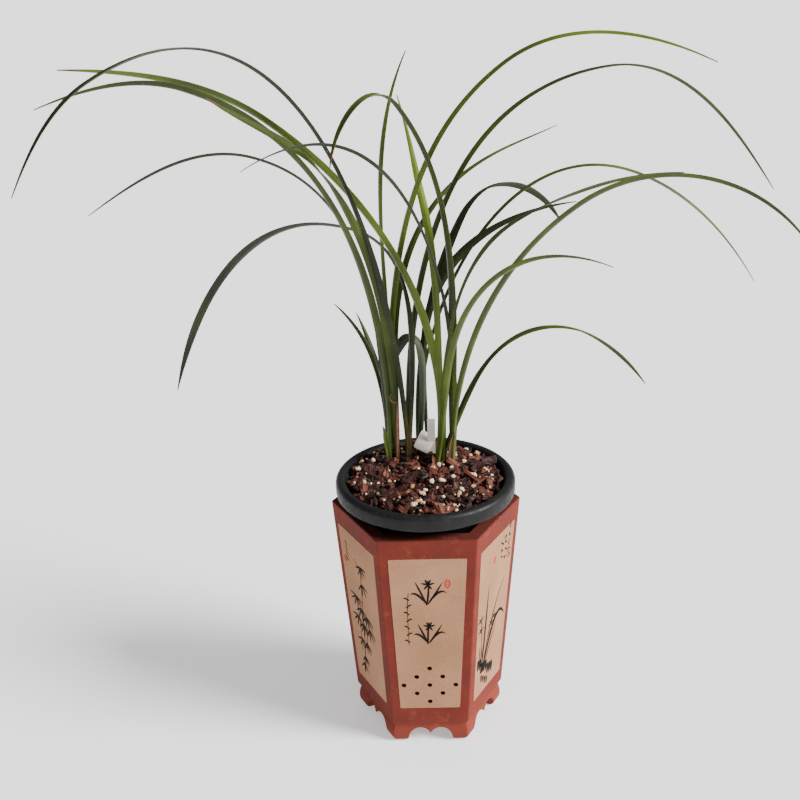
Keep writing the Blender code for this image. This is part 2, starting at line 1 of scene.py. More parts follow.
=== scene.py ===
# %% [markdown]
# # A potted orchid
# A cymbidium kind of orchid that isn't in flower stands in a black nursery pot, and that pot stands
# inside a six-sided clay pot with painted panels. This lesson dresses the plain model of it.
# First the frame is loaded. Its sizes decide where everything goes, so nothing is placed by eye.

# %% Load the frame
import math
import random
from collections import namedtuple

import bmesh
import bpy
import numpy as np
from mathutils import Matrix, Vector


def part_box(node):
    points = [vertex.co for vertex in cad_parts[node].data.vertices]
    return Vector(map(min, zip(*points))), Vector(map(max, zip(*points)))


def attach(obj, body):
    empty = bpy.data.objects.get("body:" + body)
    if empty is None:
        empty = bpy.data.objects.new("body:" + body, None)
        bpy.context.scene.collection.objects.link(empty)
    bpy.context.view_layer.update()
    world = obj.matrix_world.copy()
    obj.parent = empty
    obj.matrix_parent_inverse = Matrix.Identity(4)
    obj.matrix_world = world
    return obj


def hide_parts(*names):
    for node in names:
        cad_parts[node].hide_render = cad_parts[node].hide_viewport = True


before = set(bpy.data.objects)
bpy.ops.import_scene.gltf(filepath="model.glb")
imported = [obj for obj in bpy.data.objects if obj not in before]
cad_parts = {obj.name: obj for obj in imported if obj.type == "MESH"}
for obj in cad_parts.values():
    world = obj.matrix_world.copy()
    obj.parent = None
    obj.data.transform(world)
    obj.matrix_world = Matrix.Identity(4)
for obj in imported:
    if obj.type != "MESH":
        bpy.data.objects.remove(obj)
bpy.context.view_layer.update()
print("frame nodes:", len(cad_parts))

# %% [markdown]
# Both pots share one upright axis. The clay pot's box is the same on both sides of it, so the middle
# of that box is the axis. Every size below is in millimetres from the axis and from the ground,
# because a pot is easier to think about that way, and `spot` turns it into metres in the frame.

# %% The pots' axis
MM = 0.001
clay_low, clay_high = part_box("clay_pot")
AXIS_X = (clay_low[0] + clay_high[0]) / 2
AXIS_Y = (clay_low[1] + clay_high[1]) / 2


def spot(x, y, z):
    """A place in millimetres from the pots' axis and the ground, as a point of the frame."""
    return Vector((AXIS_X + x * MM, AXIS_Y + y * MM, z * MM))


print("axis at", round(AXIS_X, 4), round(AXIS_Y, 4))

# %% [markdown]
# A finish is a Principled shader with a few nodes before it. They could be set up one by one for each
# material, but the same five or six steps come back every time: read the place on the piece, draw
# noise there, turn the noise into colours, and turn it into bumps. A small class holds those steps,
# so that each finish below reads as a recipe.

# %% A helper for finishes
def shade(red, green, blue):
    """A colour given as it looks on a screen, 0 to 255, in the linear numbers that a shader wants."""
    return tuple(
        ((value / 255 + 0.055) / 1.055) ** 2.4 if value > 10 else value / 3294
        for value in (red, green, blue)
    )


class Finish:
    """A material and short ways to add nodes to it."""

    def __init__(self, name, roughness, specular=0.5):
        self.material = bpy.data.materials.new(name)
        self.material.use_nodes = True
        self.tree = self.material.node_tree
        self.shader = self.tree.nodes["Principled BSDF"]
        self.shader.inputs["Roughness"].default_value = roughness
        self.shader.inputs["Specular IOR Level"].default_value = specular

    def add(self, kind, **inputs):
        """A node, with its inputs set to numbers or linked to other nodes' outputs."""
        node = self.tree.nodes.new(kind)
        for label, value in inputs.items():
            self.feed(node.inputs[label.replace("_", " ")], value)
        return node

    def feed(self, socket, value):
        if isinstance(value, bpy.types.NodeSocket):
            self.tree.links.new(value, socket)
        else:
            socket.default_value = value

    def place(self):
        """Where each point of the piece is, in metres."""
        return self.add("ShaderNodeTexCoord").outputs["Object"]

    def uv(self):
        return self.add("ShaderNodeTexCoord").outputs["UV"]

    def mapped(self, vector, scale):
        return self.add("ShaderNodeMapping", Vector=vector, Scale=scale).outputs["Vector"]

    def axis(self, vector, name):
        return self.add("ShaderNodeSeparateXYZ", Vector=vector).outputs[name]

    def noise(self, vector, scale, detail=2.0, roughness=0.5):
        node = self.add("ShaderNodeTexNoise", Vector=vector, Scale=scale, Detail=detail, Roughness=roughness)
        return node.outputs["Fac"]

    def cells(self, vector, scale):
        return self.add("ShaderNodeTexVoronoi", Vector=vector, Scale=scale).outputs["Distance"]

    def span(self, value, low, high, to_low=0.0, to_high=1.0):
        """A number from one range drawn out to another, and held at its ends."""
        node = self.add("ShaderNodeMapRange", Value=value)
        for label, number in (("From Min", low), ("From Max", high), ("To Min", to_low), ("To Max", to_high)):
            node.inputs[label].default_value = number
        return node.outputs["Result"]

    def math(self, operation, first, second):
        node = self.add("ShaderNodeMath")
        node.operation = operation
        self.feed(node.inputs[0], first)
        self.feed(node.inputs[1], second)
        return node.outputs["Value"]

    def ramp(self, value, stops):
        """Colours along a number, as (where, colour) pairs."""
        node = self.add("ShaderNodeValToRGB", Fac=value)
        elements = node.color_ramp.elements
        while len(elements) < len(stops):
            elements.new(0.5)
        for element, (where, colour) in zip(elements, stops):
            element.position = where
            element.color = (*colour, 1)
        return node.outputs["Color"]

    def blend(self, share, under, over):
        """The colour over laid on the colour under, as much as share says."""
        node = self.tree.nodes.new("ShaderNodeMix")
        node.data_type = "RGBA"
        self.feed(node.inputs["Factor"], share)
        for socket, colour in ((node.inputs[6], under), (node.inputs[7], over)):
            self.feed(socket, colour if isinstance(colour, bpy.types.NodeSocket) else (*colour, 1))
        return node.outputs[2]

    def colour(self, value):
        self.feed(self.shader.inputs["Base Color"], value)

    def rough(self, value):
        self.feed(self.shader.inputs["Roughness"], value)

    def bump(self, height, distance, strength=1.0, under=None):
        node = self.add("ShaderNodeBump", Height=height, Distance=distance, Strength=strength)
        if under:
            self.feed(node.inputs["Normal"], under)
        self.feed(self.shader.inputs["Normal"], node.outputs["Normal"])
        return node.outputs["Normal"]


print("finish helper ready")

# %% [markdown]
# The clay is red stoneware, fired without a glaze. Up close it is a grainy red-brown with tiny pale
# grains, and its tone drifts over a hand's width where the kiln was hotter. It could be one noise, but
# grain and drift have very different sizes, so there is a noise for each. The foot band below the body
# was wiped clean of slip and is a little lighter, which a step in height gives.

# %% Red clay
FOOT_TOP = 24  # mm, where the body meets the foot band
BODY_TOP = 224


def red_clay():
    clay = Finish("red_clay", 0.82, 0.25)
    here = clay.place()
    drift = clay.noise(here, 28, 3.0)
    stops = [(0.3, shade(92, 29, 19)), (0.55, shade(107, 37, 25)), (0.75, shade(118, 46, 32))]
    tone = clay.ramp(drift, stops)
    height = clay.axis(here, "Z")
    foot = clay.span(height, (FOOT_TOP - 1) * MM, (FOOT_TOP - 5) * MM)
    tone = clay.blend(clay.math("MULTIPLY", foot, 0.5), tone, shade(134, 60, 44))
    # The top of the rim is darkened here: painted shadow of the nursery pot's lip, which overhangs it.
    painted_lip_shadow = clay.span(height, (BODY_TOP - 1.2) * MM, (BODY_TOP - 0.3) * MM, 0.0, 0.6)
    tone = clay.blend(painted_lip_shadow, tone, shade(48, 17, 12))
    grain = clay.noise(here, 1400, 2.0)
    tone = clay.blend(clay.span(grain, 0.52, 0.8, 0.0, 0.55), tone, shade(70, 24, 17))
    flecks = clay.cells(here, 900)
    tone = clay.blend(clay.span(flecks, 0.1, 0.02, 0.0, 0.75), tone, shade(184, 118, 92))
    dust = clay.noise(here, 90, 4.0, 0.7)
    tone = clay.blend(clay.span(dust, 0.56, 0.8, 0.0, 0.4), tone, shade(146, 76, 60))
    clay.colour(tone)
    clay.rough(clay.span(drift, 0.3, 0.7, 0.76, 0.9))
    fine = clay.bump(grain, 0.12 * MM, 0.7)
    clay.bump(clay.noise(here, 220, 3.0), 0.25 * MM, 0.5, fine)
    return clay.material


CLAY = red_clay()
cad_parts["clay_pot"].data.materials.clear()
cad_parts["clay_pot"].data.materials.append(CLAY)
print("clay pot finished:", CLAY.name)

# %% [markdown]
# Each of the six sides carries a panel of sand-coloured slip, which is thin liquid clay brushed on
# inside a masked frame before firing. A colour mask in the clay's material could draw it, but slip
# really is a coat: it has a soft edge that stands a little proud. So each panel is a thin plate with
# rounded corners, laid on its side of the pot, and the front one has the nine air holes through it.
# `on_side` is the one place that knows how the sides lean: it turns (across, height) on a side into
# a point of the frame.

# %% Places on the pot's sides
TOP_CORNER = 85  # mm from the axis to an upright edge, at the rim and at the foot of the body
BASE_CORNER = 70
FLAT = math.cos(math.pi / 6)  # a side's middle is this much nearer to the axis than its edges
SIDE_ANGLES = {"front": -90, "right": -30, "back_right": 30, "back": 90, "back_left": 150, "left": -150}


def corner_at(height):
    return BASE_CORNER + (TOP_CORNER - BASE_CORNER) * (height - FOOT_TOP) / (BODY_TOP - FOOT_TOP)


def on_side(side, across, height, lift):
    """A point on one side of the pot, lift mm out of the clay, across mm to the right of its middle."""
    angle = math.radians(SIDE_ANGLES[side])
    out = corner_at(height) * FLAT + lift
    x = math.cos(angle) * out - math.sin(angle) * across
    y = math.sin(angle) * out + math.cos(angle) * across
    return spot(x, y, height)


def side_facing(side):
    """The direction that a side faces."""
    origin = on_side(side, 0, FOOT_TOP, 0)
    right = on_side(side, 1, FOOT_TOP, 0) - origin
    up = on_side(side, 0, BODY_TOP, 0) - origin
    return right.cross(up).normalized()


print("front faces", tuple(round(value, 3) for value in side_facing("front")))

# %% Slip panels
PANEL_LOW, PANEL_HIGH = 40.6, 204.9  # heights of the panel's ends, mm
PANEL_HALF_LOW, PANEL_HALF_HIGH = 27.2, 33.6  # half widths there
PANEL_COAT = 0.3
PANEL_BEDDED = 0.25
PANEL_CORNER = 1.2
HOLE_RADIUS, HOLE_COLUMN, HOLE_ROW, HOLE_MIDDLE = 2.3, 11.7, 9.6, 67.5


def mesh_of(name, build):
    bm = bmesh.new()
    build(bm)
    mesh = bpy.data.meshes.new(name)
    bm.to_mesh(mesh)
    bm.free()
    return mesh


def rounded_outline(corners, radius, steps=4):
    """A flat outline whose corners are rounded by a short curve."""
    rim = []
    for place, corner in enumerate(corners):
        before = (corners[place - 1] - corner).normalized() * radius
        after = (corners[(place + 1) % len(corners)] - corner).normalized() * radius
        for step in range(steps + 1):
            share = step / steps
            start, pull, end = (1 - share) ** 2, 2 * share * (1 - share), share**2
            rim.append(start * (corner + before) + pull * corner + end * (corner + after))
    return rim


def add_panel(bm, side):
    """One plate: a bedded foot, an upright edge and a front that is drawn in a little."""
    corners = [
        Vector((-PANEL_HALF_LOW, PANEL_LOW)),
        Vector((PANEL_HALF_LOW, PANEL_LOW)),
        Vector((PANEL_HALF_HIGH, PANEL_HIGH)),
        Vector((-PANEL_HALF_HIGH, PANEL_HIGH)),
    ]
    middle = Vector((0, (PANEL_LOW + PANEL_HIGH) / 2))
    rings = []
    for lift, drawn_in in ((-PANEL_BEDDED, 0), (PANEL_COAT * 0.6, 0), (PANEL_COAT, 0.25)):
        shrunk = [corner + (middle - corner).normalized() * drawn_in * 1.4 for corner in corners]
        outline = rounded_outline(shrunk, PANEL_CORNER)
        rings.append([bm.verts.new(on_side(side, point.x, point.y, lift)) for point in outline])
    for inner, outer in zip(rings, rings[1:]):
        for place in range(len(inner)):
            other = (place + 1) % len(inner)
            bm.faces.new((inner[place], inner[other], outer[other], outer[place]))
    bm.faces.new(rings[-1])
    bm.faces.new(list(reversed(rings[0])))


def air_hole_places():
    """The lattice of nine holes, in rows of 1, 2, 3, 2 and 1."""
    for row in range(-2, 3):
        widest = 2 - abs(row)
        for column in range(-widest, widest + 1, 2):
            yield column * HOLE_COLUMN, HOLE_MIDDLE + row * HOLE_ROW


def add_rod(bm, radius, length, sides, place):
    """A cylinder to cut a hole with, its radius and length in mm."""
    bmesh.ops.create_cone(
        bm,
        cap_ends=True,
        segments=sides,
        radius1=radius * MM,
        radius2=radius * MM,
        depth=length * MM,
        matrix=place,
    )


def add_hole_rods(bm):
    for across, height in air_hole_places():
        middle = on_side("front", across, height, 0)
        add_rod(bm, HOLE_RADIUS, 6, 28, Matrix.Translation(middle) @ Matrix.Rotation(math.pi / 2, 4, "X"))


def add_object(name, mesh, material=None):
    made = bpy.data.objects.new(name, mesh)
    bpy.context.scene.collection.objects.link(made)
    if material:
        mesh.materials.clear()
        mesh.materials.append(material)
    return made


def evaluated_mesh(obj):
    """The object's mesh after its modifiers, as a plain mesh."""
    bpy.context.view_layer.update()
    graph = bpy.context.evaluated_depsgraph_get()
    evaluated = obj.evaluated_get(graph)
    return bpy.data.meshes.new_from_object(evaluated, preserve_all_data_layers=True, depsgraph=graph)


def bake(obj):
    """Turns the object's modifiers into its mesh."""
    mesh = evaluated_mesh(obj)
    obj.modifiers.clear()
    obj.data = mesh
    return obj


def drilled(obj, name, build):
    """Cuts the rods that build makes out of the object, and removes them."""
    rods = add_object(name, mesh_of(name, build))
    holes = obj.modifiers.new("holes", "BOOLEAN")
    holes.operation = "DIFFERENCE"
    holes.solver = "EXACT"
    holes.object = rods
    bake(obj)
    bpy.data.objects.remove(rods)


def thickened(obj, thickness, offset=0):
    """Gives a sheet its thickness in mm, half to each side unless offset says otherwise."""
    body = obj.modifiers.new("thickness", "SOLIDIFY")
    body.thickness = thickness * MM
    body.offset = offset
    bake(obj)


def keep(obj, slot, *nodes):
    """Hands a finished piece to the frame."""
    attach(obj, "root")
    if nodes:
        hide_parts(*nodes)
    return obj


def sand_slip():
    slip = Finish("sand_slip", 0.88, 0.3)
    here = slip.place()
    drift = slip.noise(here, 22, 3.0)
    stops = [(0.3, shade(152, 108, 78)), (0.6, shade(164, 120, 88)), (0.8, shade(172, 130, 98))]
    tone = slip.ramp(drift, stops)
    grain = slip.noise(here, 900, 3.0, 0.7)
    tone = slip.blend(slip.span(grain, 0.5, 0.72, 0.0, 0.5), tone, shade(118, 76, 54))
    pale = slip.noise(slip.mapped(here, (1.3, 1.3, 1.3)), 1500, 2.0)
    tone = slip.blend(slip.span(pale, 0.58, 0.76, 0.0, 0.6), tone, shade(208, 172, 144))
    specks = slip.cells(here, 620)
    tone = slip.blend(slip.span(specks, 0.1, 0.03, 0.0, 0.7), tone, shade(82, 44, 32))
    slip.colour(tone)
    slip.rough(slip.span(grain, 0.3, 0.7, 0.8, 0.95))
    slip.bump(grain, 0.1 * MM, 0.6)
    return slip.material


SLIP = sand_slip()
plates = mesh_of("slip_panels", lambda bm: [add_panel(bm, side) for side in SIDE_ANGLES])
panels = add_object("slip_panels", plates, SLIP)
drilled(panels, "hole_rods", add_hole_rods)
keep(panels, "red_clay")
print("slip panels:", len(panels.data.polygons), "faces")

# %% [markdown]
# Leaves and brush strokes are the same kind of thing: a narrow strip that follows a path, wide here and
# fine there. Geometry Nodes suit that. The input is only a row of points. Each point says which way is
# across (`side`), which way the strip faces (`up`), how wide half of it is (`half`) and how much of the
# fold it has (`crease`). The tree lays a grid over the row: column number becomes how far across, row
# number becomes which point. Inputs set how many columns there are and how deep the fold is.

# %% A tree that lays a strip along a row of points
class NodeTree:
    """A Geometry Nodes tree with named inputs, and a short way to add linked nodes."""

    def __init__(self, name, inputs):
        self.tree = bpy.data.node_groups.new(name, "GeometryNodeTree")
        sockets = self.tree.interface
        sockets.new_socket("Geometry", in_out="INPUT", socket_type="NodeSocketGeometry")
        for label, kind in inputs.items():
            sockets.new_socket(label, in_out="INPUT", socket_type=f"NodeSocket{kind}")
        sockets.new_socket("Geometry", in_out="OUTPUT", socket_type="NodeSocketGeometry")
        self.given = self.tree.nodes.new("NodeGroupInput").outputs
        self.result = self.tree.nodes.new("NodeGroupOutput").inputs["Geometry"]

    def add(self, kind, settings=None, **inputs):
        node = self.tree.nodes.new(kind)
        for label, value in (settings or {}).items():
            setattr(node, label, value)
        for label, value in inputs.items():
            self.feed(node.inputs[label.replace("_", " ")], value)
        return node

    def feed(self, socket, value):
        if isinstance(value, bpy.types.NodeSocket):
            self.tree.links.new(value, socket)
        else:
            socket.default_value = value

    def math(self, operation, first, second=0.0):
        node = self.add("ShaderNodeMath", {"operation": operation})
        self.feed(node.inputs[0], first)
        self.feed(node.inputs[1], second)
        return node.outputs["Value"]

    def scaled(self, vector, factor):
        node = self.add("ShaderNodeVectorMath", {"operation": "SCALE"}, Scale=factor)
        self.feed(node.inputs[0], vector)
        return node.outputs["Vector"]

    def total(self, first, second):
        node = self.add("ShaderNodeVectorMath", {"operation": "ADD"})
        self.feed(node.inputs[0], first)
        self.feed(node.inputs[1], second)
        return node.outputs["Vector"]

    def finish(self, geometry, material):
        """Every tree ends with real faces, not instances, and with its material on them."""
        real = self.add("GeometryNodeRealizeInstances", Geometry=geometry).outputs["Geometry"]
        painted = self.add("GeometryNodeSetMaterial", Geometry=real, Material=material)
        self.tree.links.new(painted.outputs["Geometry"], self.result)


def grown(mesh, tree, **values):
    """The plain mesh that a tree makes from a mesh, with its inputs set by their identifiers."""
    carrier = add_object("carrier", mesh)
    modifier = carrier.modifiers.new("grow", "NODES")
    modifier.node_group = tree.tree
    for item in tree.tree.interface.items_tree:
        if item.in_out == "INPUT" and item.name in values:
            modifier[item.identifier] = values[item.name]
    made = evaluated_mesh(carrier)
    bpy.data.objects.remove(carrier)
    return made


def strip_tree():
    tree = NodeTree("strip_along_points", {"Columns": "Int", "Fold": "Float", "Finish": "Material"})
    spine = tree.given["Geometry"]
    count = tree.add("GeometryNodeAttributeDomainSize", Geometry=spine).outputs["Point Count"]
    rows = tree.math("SUBTRACT", count, 1.0)
    grid = tree.add(
        "GeometryNodeMeshGrid", Size_X=2.0, Size_Y=1.0, Vertices_X=tree.given["Columns"], Vertices_Y=count
    )
    place = tree.add("ShaderNodeSeparateXYZ", Vector=tree.add("GeometryNodeInputPosition").outputs[0])
    across = place.outputs["X"]
    along = tree.math("ADD", place.outputs["Y"], 0.5)
    which = tree.math("ROUND", tree.math("MULTIPLY", along, rows))

    def read(name, kind="FLOAT_VECTOR"):
        settings = {"data_type": kind}
        value = tree.add("GeometryNodeInputNamedAttribute", settings, Name=name).outputs["Attribute"]
        sample = tree.add("GeometryNodeSampleIndex", settings, Geometry=spine, Value=value, Index=which)
        return sample.outputs["Value"]

    half = read("half", "FLOAT")
    from_middle = tree.math("ABSOLUTE", across)
    fold = tree.math("MULTIPLY", tree.given["Fold"], read("crease", "FLOAT"))
    depth = tree.math("MULTIPLY", tree.math("MULTIPLY", half, fold), tree.math("SUBTRACT", from_middle, 1.0))
    sideways = tree.scaled(read("side"), tree.math("MULTIPLY", half, across))
    placed = tree.total(tree.total(read("position"), sideways), tree.scaled(read("up"), depth))

    on_strip = tree.add("ShaderNodeCombineXYZ", X=tree.math("MULTIPLY_ADD", across, 0.5), Y=along)
    on_strip.inputs["X"].links[0].from_node.inputs[2].default_value = 0.5
    settings = {"data_type": "FLOAT2", "domain": "CORNER"}
    uv = tree.add("GeometryNodeStoreNamedAttribute", settings, Geometry=grid.outputs["Mesh"])
    uv.inputs["Name"].default_value = "UVMap"
    tree.feed(uv.inputs["Value"], on_strip.outputs["Vector"])
    moved = tree.add("GeometryNodeSetPosition", Geometry=uv.outputs["Geometry"], Position=placed)
    tree.finish(moved.outputs["Geometry"], tree.given["Finish"])
    return tree


STRIP = strip_tree()


def spine_mesh(points, sides, ups, halves, creases):
    """A row of points that carries what the strip tree reads."""
    mesh = bpy.data.meshes.new("spine")
    mesh.from_pydata([tuple(point) for point in points], [(i, i + 1) for i in range(len(points) - 1)], [])
    for name, vectors in (("side", sides), ("up", ups)):
        layer = mesh.attributes.new(name, "FLOAT_VECTOR", "POINT")
        layer.data.foreach_set("vector", [value for vector in vectors for value in vector])
    mesh.attributes.new("half", "FLOAT", "POINT").data.foreach_set("value", halves)
    mesh.attributes.new("crease", "FLOAT", "POINT").data.foreach_set("value", creases)
    return mesh


def strip(points, sides, ups, halves, creases, columns, fold, material):
    spine = spine_mesh(points, sides, ups, halves, creases)
    return grown(spine, STRIP, Columns=columns, Fold=fold, Finish=material)


def joined(name, meshes, material):
    """One mesh of several, with their UV maps and attributes."""
    bm = bmesh.new()
    for mesh in meshes:
        bm.from_mesh(mesh)
    whole = bpy.data.meshes.new(name)
    bm.to_mesh(whole)
    bm.free()
    whole.materials.append(material)
    return whole


print("strip tree:", len(STRIP.tree.nodes), "nodes")

# %% [markdown]
# The black nursery pot is moulded plastic. The plain model has 44 sides, which shows along the lip, so
# it is turned again here with many more, from the same outline: a thin wall, and a thick lip that rolls
# over and hangs down outside. Spin turns the outline round the axis, and then the drain holes are cut
# through the base.

# %% Nursery pot
LIP_TOP = 249  # mm
LIP_RADIUS, LIP_ROLL, LIP_DROP, LIP_HEM = 80, 4.8, 14.5, 2.6
COLLAR, COLLAR_INSIDE = 69.6, 68.4
RIM_OUT, RIM_IN = 60.1, 58.9  # the wall where it passes the clay pot's rim
BASE_OUT, BASE_IN, BASE_UNDER, BASE_TOP = 50, 48.8, 28.3, 29.9
MIX_EDGE, MIX_CROWN, MIX_RADIUS = 239, 4.5, 68.1


def arc(centre, radius, start, end, steps):
    turns = [math.radians(start + (end - start) * step / steps) for step in range(steps + 1)]
    return [(centre[0] + radius * math.cos(turn), centre[1] + radius * math.sin(turn)) for turn in turns]


def turned(name, outline, steps, material):
    """An outline of (radius, height) in mm turned round the pots' axis, as a closed mesh."""

    def build(bm):
        points = [bm.verts.new((radius * MM, 0, height * MM)) for radius, height in outline]
        edges = [bm.edges.new(pair) for pair in zip(points, points[1:])]
        bmesh.ops.spin(
            bm,
            geom=points + edges,
            cent=(0, 0, 0),
            axis=(0, 0, 1),
            angle=2 * math.pi,
            steps=steps,
            use_merge=True,
        )
        bmesh.ops.remove_doubles(bm, verts=bm.verts, dist=0.01 * MM)
        bmesh.ops.translate(bm, verts=bm.verts, vec=spot(0, 0, 0))
        bmesh.ops.recalc_face_normals(bm, faces=bm.faces)

    return add_object(name, mesh_of(name, build), material)


def black_plastic():
    plastic = Finish("black_plastic", 0.42, 0.18)
    here = plastic.place()
    cloud = plastic.noise(here, 35, 4.0, 0.6)
    tone = plastic.ramp(cloud, [(0.35, shade(14, 14, 15)), (0.7, shade(25, 25, 26))])
    dust = plastic.noise(here, 260, 5.0, 0.75)
    dusty = plastic.math("MULTIPLY", plastic.span(dust, 0.55, 0.78), plastic.span(cloud, 0.4, 0.65))
    tone = plastic.blend(plastic.math("MULTIPLY", dusty, 0.25), tone, shade(84, 74, 66))
    plastic.colour(tone)
    plastic.rough(plastic.span(dust, 0.35, 0.75, 0.38, 0.7))
    plastic.bump(plastic.noise(here, 700, 2.0), 0.08 * MM, 0.4)
    return plastic.material


BLACK = black_plastic()
nursery_outline = [
    (0, BASE_TOP),
    (BASE_IN - 2, BASE_TOP),
    (BASE_IN, BASE_TOP + 2),
    (RIM_IN, BODY_TOP),
    (COLLAR_INSIDE, MIX_EDGE - 1.5),
    (COLLAR_INSIDE + 0.2, MIX_EDGE + 2),
    *arc((LIP_RADIUS - LIP_ROLL, LIP_TOP - LIP_ROLL), LIP_ROLL, 165, 5, 14),
    *arc((LIP_RADIUS - LIP_HEM, LIP_TOP - LIP_DROP + LIP_HEM), LIP_HEM, -5, -110, 6),
    (COLLAR + 4, LIP_TOP - LIP_DROP + 1.4),
    (COLLAR + 0.6, LIP_TOP - LIP_DROP + 0.4),
    (RIM_OUT, BODY_TOP),
    (BASE_OUT, BASE_UNDER + 1.5),
    (BASE_OUT - 1.5, BASE_UNDER),
    (0, BASE_UNDER),
]
nursery = turned("nursery_pot_moulding", nursery_outline, 128, BLACK)


DRAIN_RADIUS, DRAIN_CIRCLE, DRAINS_ROUND = 5, 33, 6  # six drain holes round a seventh in the middle


def add_drain_rods(bm):
    for around in range(DRAINS_ROUND + 1):
        angle = around * 2 * math.pi / DRAINS_ROUND
        out = DRAIN_CIRCLE if around < DRAINS_ROUND else 0
        middle = spot(out * math.cos(angle), out * math.sin(angle), BASE_UNDER)
        add_rod(bm, DRAIN_RADIUS, 12, 24, Matrix.Translation(middle))


drilled(nursery, "drain_rods", add_drain_rods)
nursery.data.shade_smooth()
keep(nursery, "black_plastic", "nursery_pot")
print("nursery pot:", len(nursery.data.polygons), "faces")

# %% [markdown]
# Orchids grow in chopped bark with pumice and a little charcoal. Under the loose top layer is a dark bed
# of crumbs: a turned solid that fills the pot, its top roughened with noise. The chips on it are
# hundreds of loose pieces. Placing them by hand would take a day, so a second tree scatters them: it
# picks points on the bed, puts one of a few chip shapes on each, turns and sizes it at random from a
# fixed seed, and stores a random tone on each chip for its material to read.

# %% Bed of the mix
def smoothstep(share):
    share = min(max(share, 0), 1)
    return share * share * (3 - 2 * share)


def mix_height(x, y):
    return MIX_EDGE + MIX_CROWN * (1 - (x * x + y * y) / MIX_RADIUS**2)


BED_RADIUS = 67.4


def heaped(x, y):
    """How far the loose layer is heaped above the plain model's level: more towards the back."""
    return 3.0 + 4.4 * smoothstep(0.5 + y / (2 * MIX_RADIUS))


def dark_crumbs():
    soil = Finish("dark_crumbs", 0.95, 0.2)
    here = soil.place()
    stops = [(0.35, shade(18, 12, 10)), (0.6, shade(48, 28, 22)), (0.8, shade(84, 52, 40))]
    tone = soil.ramp(soil.noise(here, 420, 4.0), stops)
    soil.colour(tone)
    soil.rough(soil.span(soil.noise(here, 900), 0.3, 0.7, 0.85, 1.0))
    soil.bump(soil.noise(here, 500, 4.0), 0.8 * MM)
    return soil.material


BED_SUNK = 2.4  # mm, how far the bed lies under the loose pieces' level
bed_top = [(BED_RADIUS * step / 24, mix_height(BED_RADIUS * step / 24, 0) - BED_SUNK) for step in range(25)]
bed_outline = bed_top + [(RIM_IN - 0.6, BODY_TOP), (BASE_IN - 2.5, BASE_TOP + 0.4), (0, BASE_TOP + 0.4)]
bed = turned("mix_bed", bed_outline, 96, dark_crumbs())
for vert in bed.data.vertices:
    if vert.co.z > (MIX_EDGE - 6) * MM:
        wave = math.sin(vert.co.x * 410) * math.cos(vert.co.y * 370 + 1)
        wave += math.sin(vert.co.x * 930 + vert.co.y * 790)
        heap = heaped((vert.co.x - AXIS_X) / MM, (vert.co.y - AXIS_Y) / MM)
        vert.co.z += (0.45 * wave + heap) * MM
bed.data.shade_smooth()
keep(bed, "bark_mix", "potting_mix")
print("mix bed:", len(bed.data.polygons), "faces")

# %% Scatter tree
def scatter_tree():
    inputs = {
        "Shapes": "Collection",
        "Amount": "Float",
        "Clumping": "Float",
        "Smallest": "Float",
        "Largest": "Float",
        "Lift": "Float",
        "Seed": "Int",
        "Finish": "Material",
    }
    tree = NodeTree("scatter_on_bed", inputs)
    given = tree.given
    patches = tree.add("ShaderNodeTexNoise", Scale=75.0, Detail=1.0).outputs[0]
    patchy = tree.math("MULTIPLY", tree.math("SUBTRACT", patches, 0.53), 22.0)
    held = tree.math("MAXIMUM", tree.math("MINIMUM", patchy, 1.4), -1.0)
    swing = tree.math("MULTIPLY", given["Clumping"], held)
    density = tree.math("MULTIPLY", given["Amount"], tree.math("ADD", 1.0, swing))
    points = tree.add(
        "GeometryNodeDistributePointsOnFaces", Mesh=given["Geometry"], Density=density, Seed=given["Seed"]
    ).outputs["Points"]
    shapes = tree.add(
        "GeometryNodeCollectionInfo", Collection=given["Shapes"], Separate_Children=True, Reset_Children=True
    )

    def random_number(low, high, kind, offset):
        """A random number or vector for each point, from the tree's own seed."""
        node = tree.add("FunctionNodeRandomValue", {"data_type": kind})
        fitting = [socket for socket in node.inputs if socket.enabled and socket.name in ("Min", "Max")]
        for socket, value in zip(fitting, (low, high)):
            tree.feed(socket, value)
        tree.feed(node.inputs["Seed"], tree.math("ADD", given["Seed"], offset))
        return [socket for socket in node.outputs if socket.enabled][0]

    height = tree.math("MULTIPLY", given["Lift"], random_number(0.0, 1.0, "FLOAT", 1.0))
    lift = tree.add("ShaderNodeCombineXYZ", Z=height).outputs["Vector"]
    raised = tree.add("GeometryNodeSetPosition", Geometry=points, Offset=lift).outputs["Geometry"]
    turn = random_number((-0.55, -0.55, 0.0), (0.55, 0.55, 6.283), "FLOAT_VECTOR", 2.0)
    size = random_number(given["Smallest"], given["Largest"], "FLOAT", 3.0)
    placed = tree.add(
        "GeometryNodeInstanceOnPoints", Points=raised, Instance=shapes.outputs[0], Rotation=turn, Scale=size
    )
    placed.inputs["Pick Instance"].default_value = True
    tone = tree.add(
        "GeometryNodeStoreNamedAttribute",
        {"data_type": "FLOAT", "domain": "INSTANCE"},
        Geometry=placed.outputs["Instances"],
        Name="tone",
        Value=random_number(0.0, 1.0, "FLOAT", 4.0),
    )
    tree.finish(tone.outputs["Geometry"], given["Finish"])
    return tree


SCATTER = scatter_tree()
print("scatter tree:", len(SCATTER.tree.nodes), "nodes")

# %% [markdown]
# The scatter tree needs shapes to pick from. A bark chip is a split flake: long, flat and angular, with
# stepped broken ends. Pumice is a rounded lump with dents. Both start from a simple mesh whose points
# are pushed about at random, with few faces, because hundreds of them are needed.

# %% Chip and grain shapes
chance = random.Random(7)


def jolted(bm, amount):
    for vert in bm.verts:
        vert.co += Vector([chance.uniform(-amount, amount) for _ in range(3)])


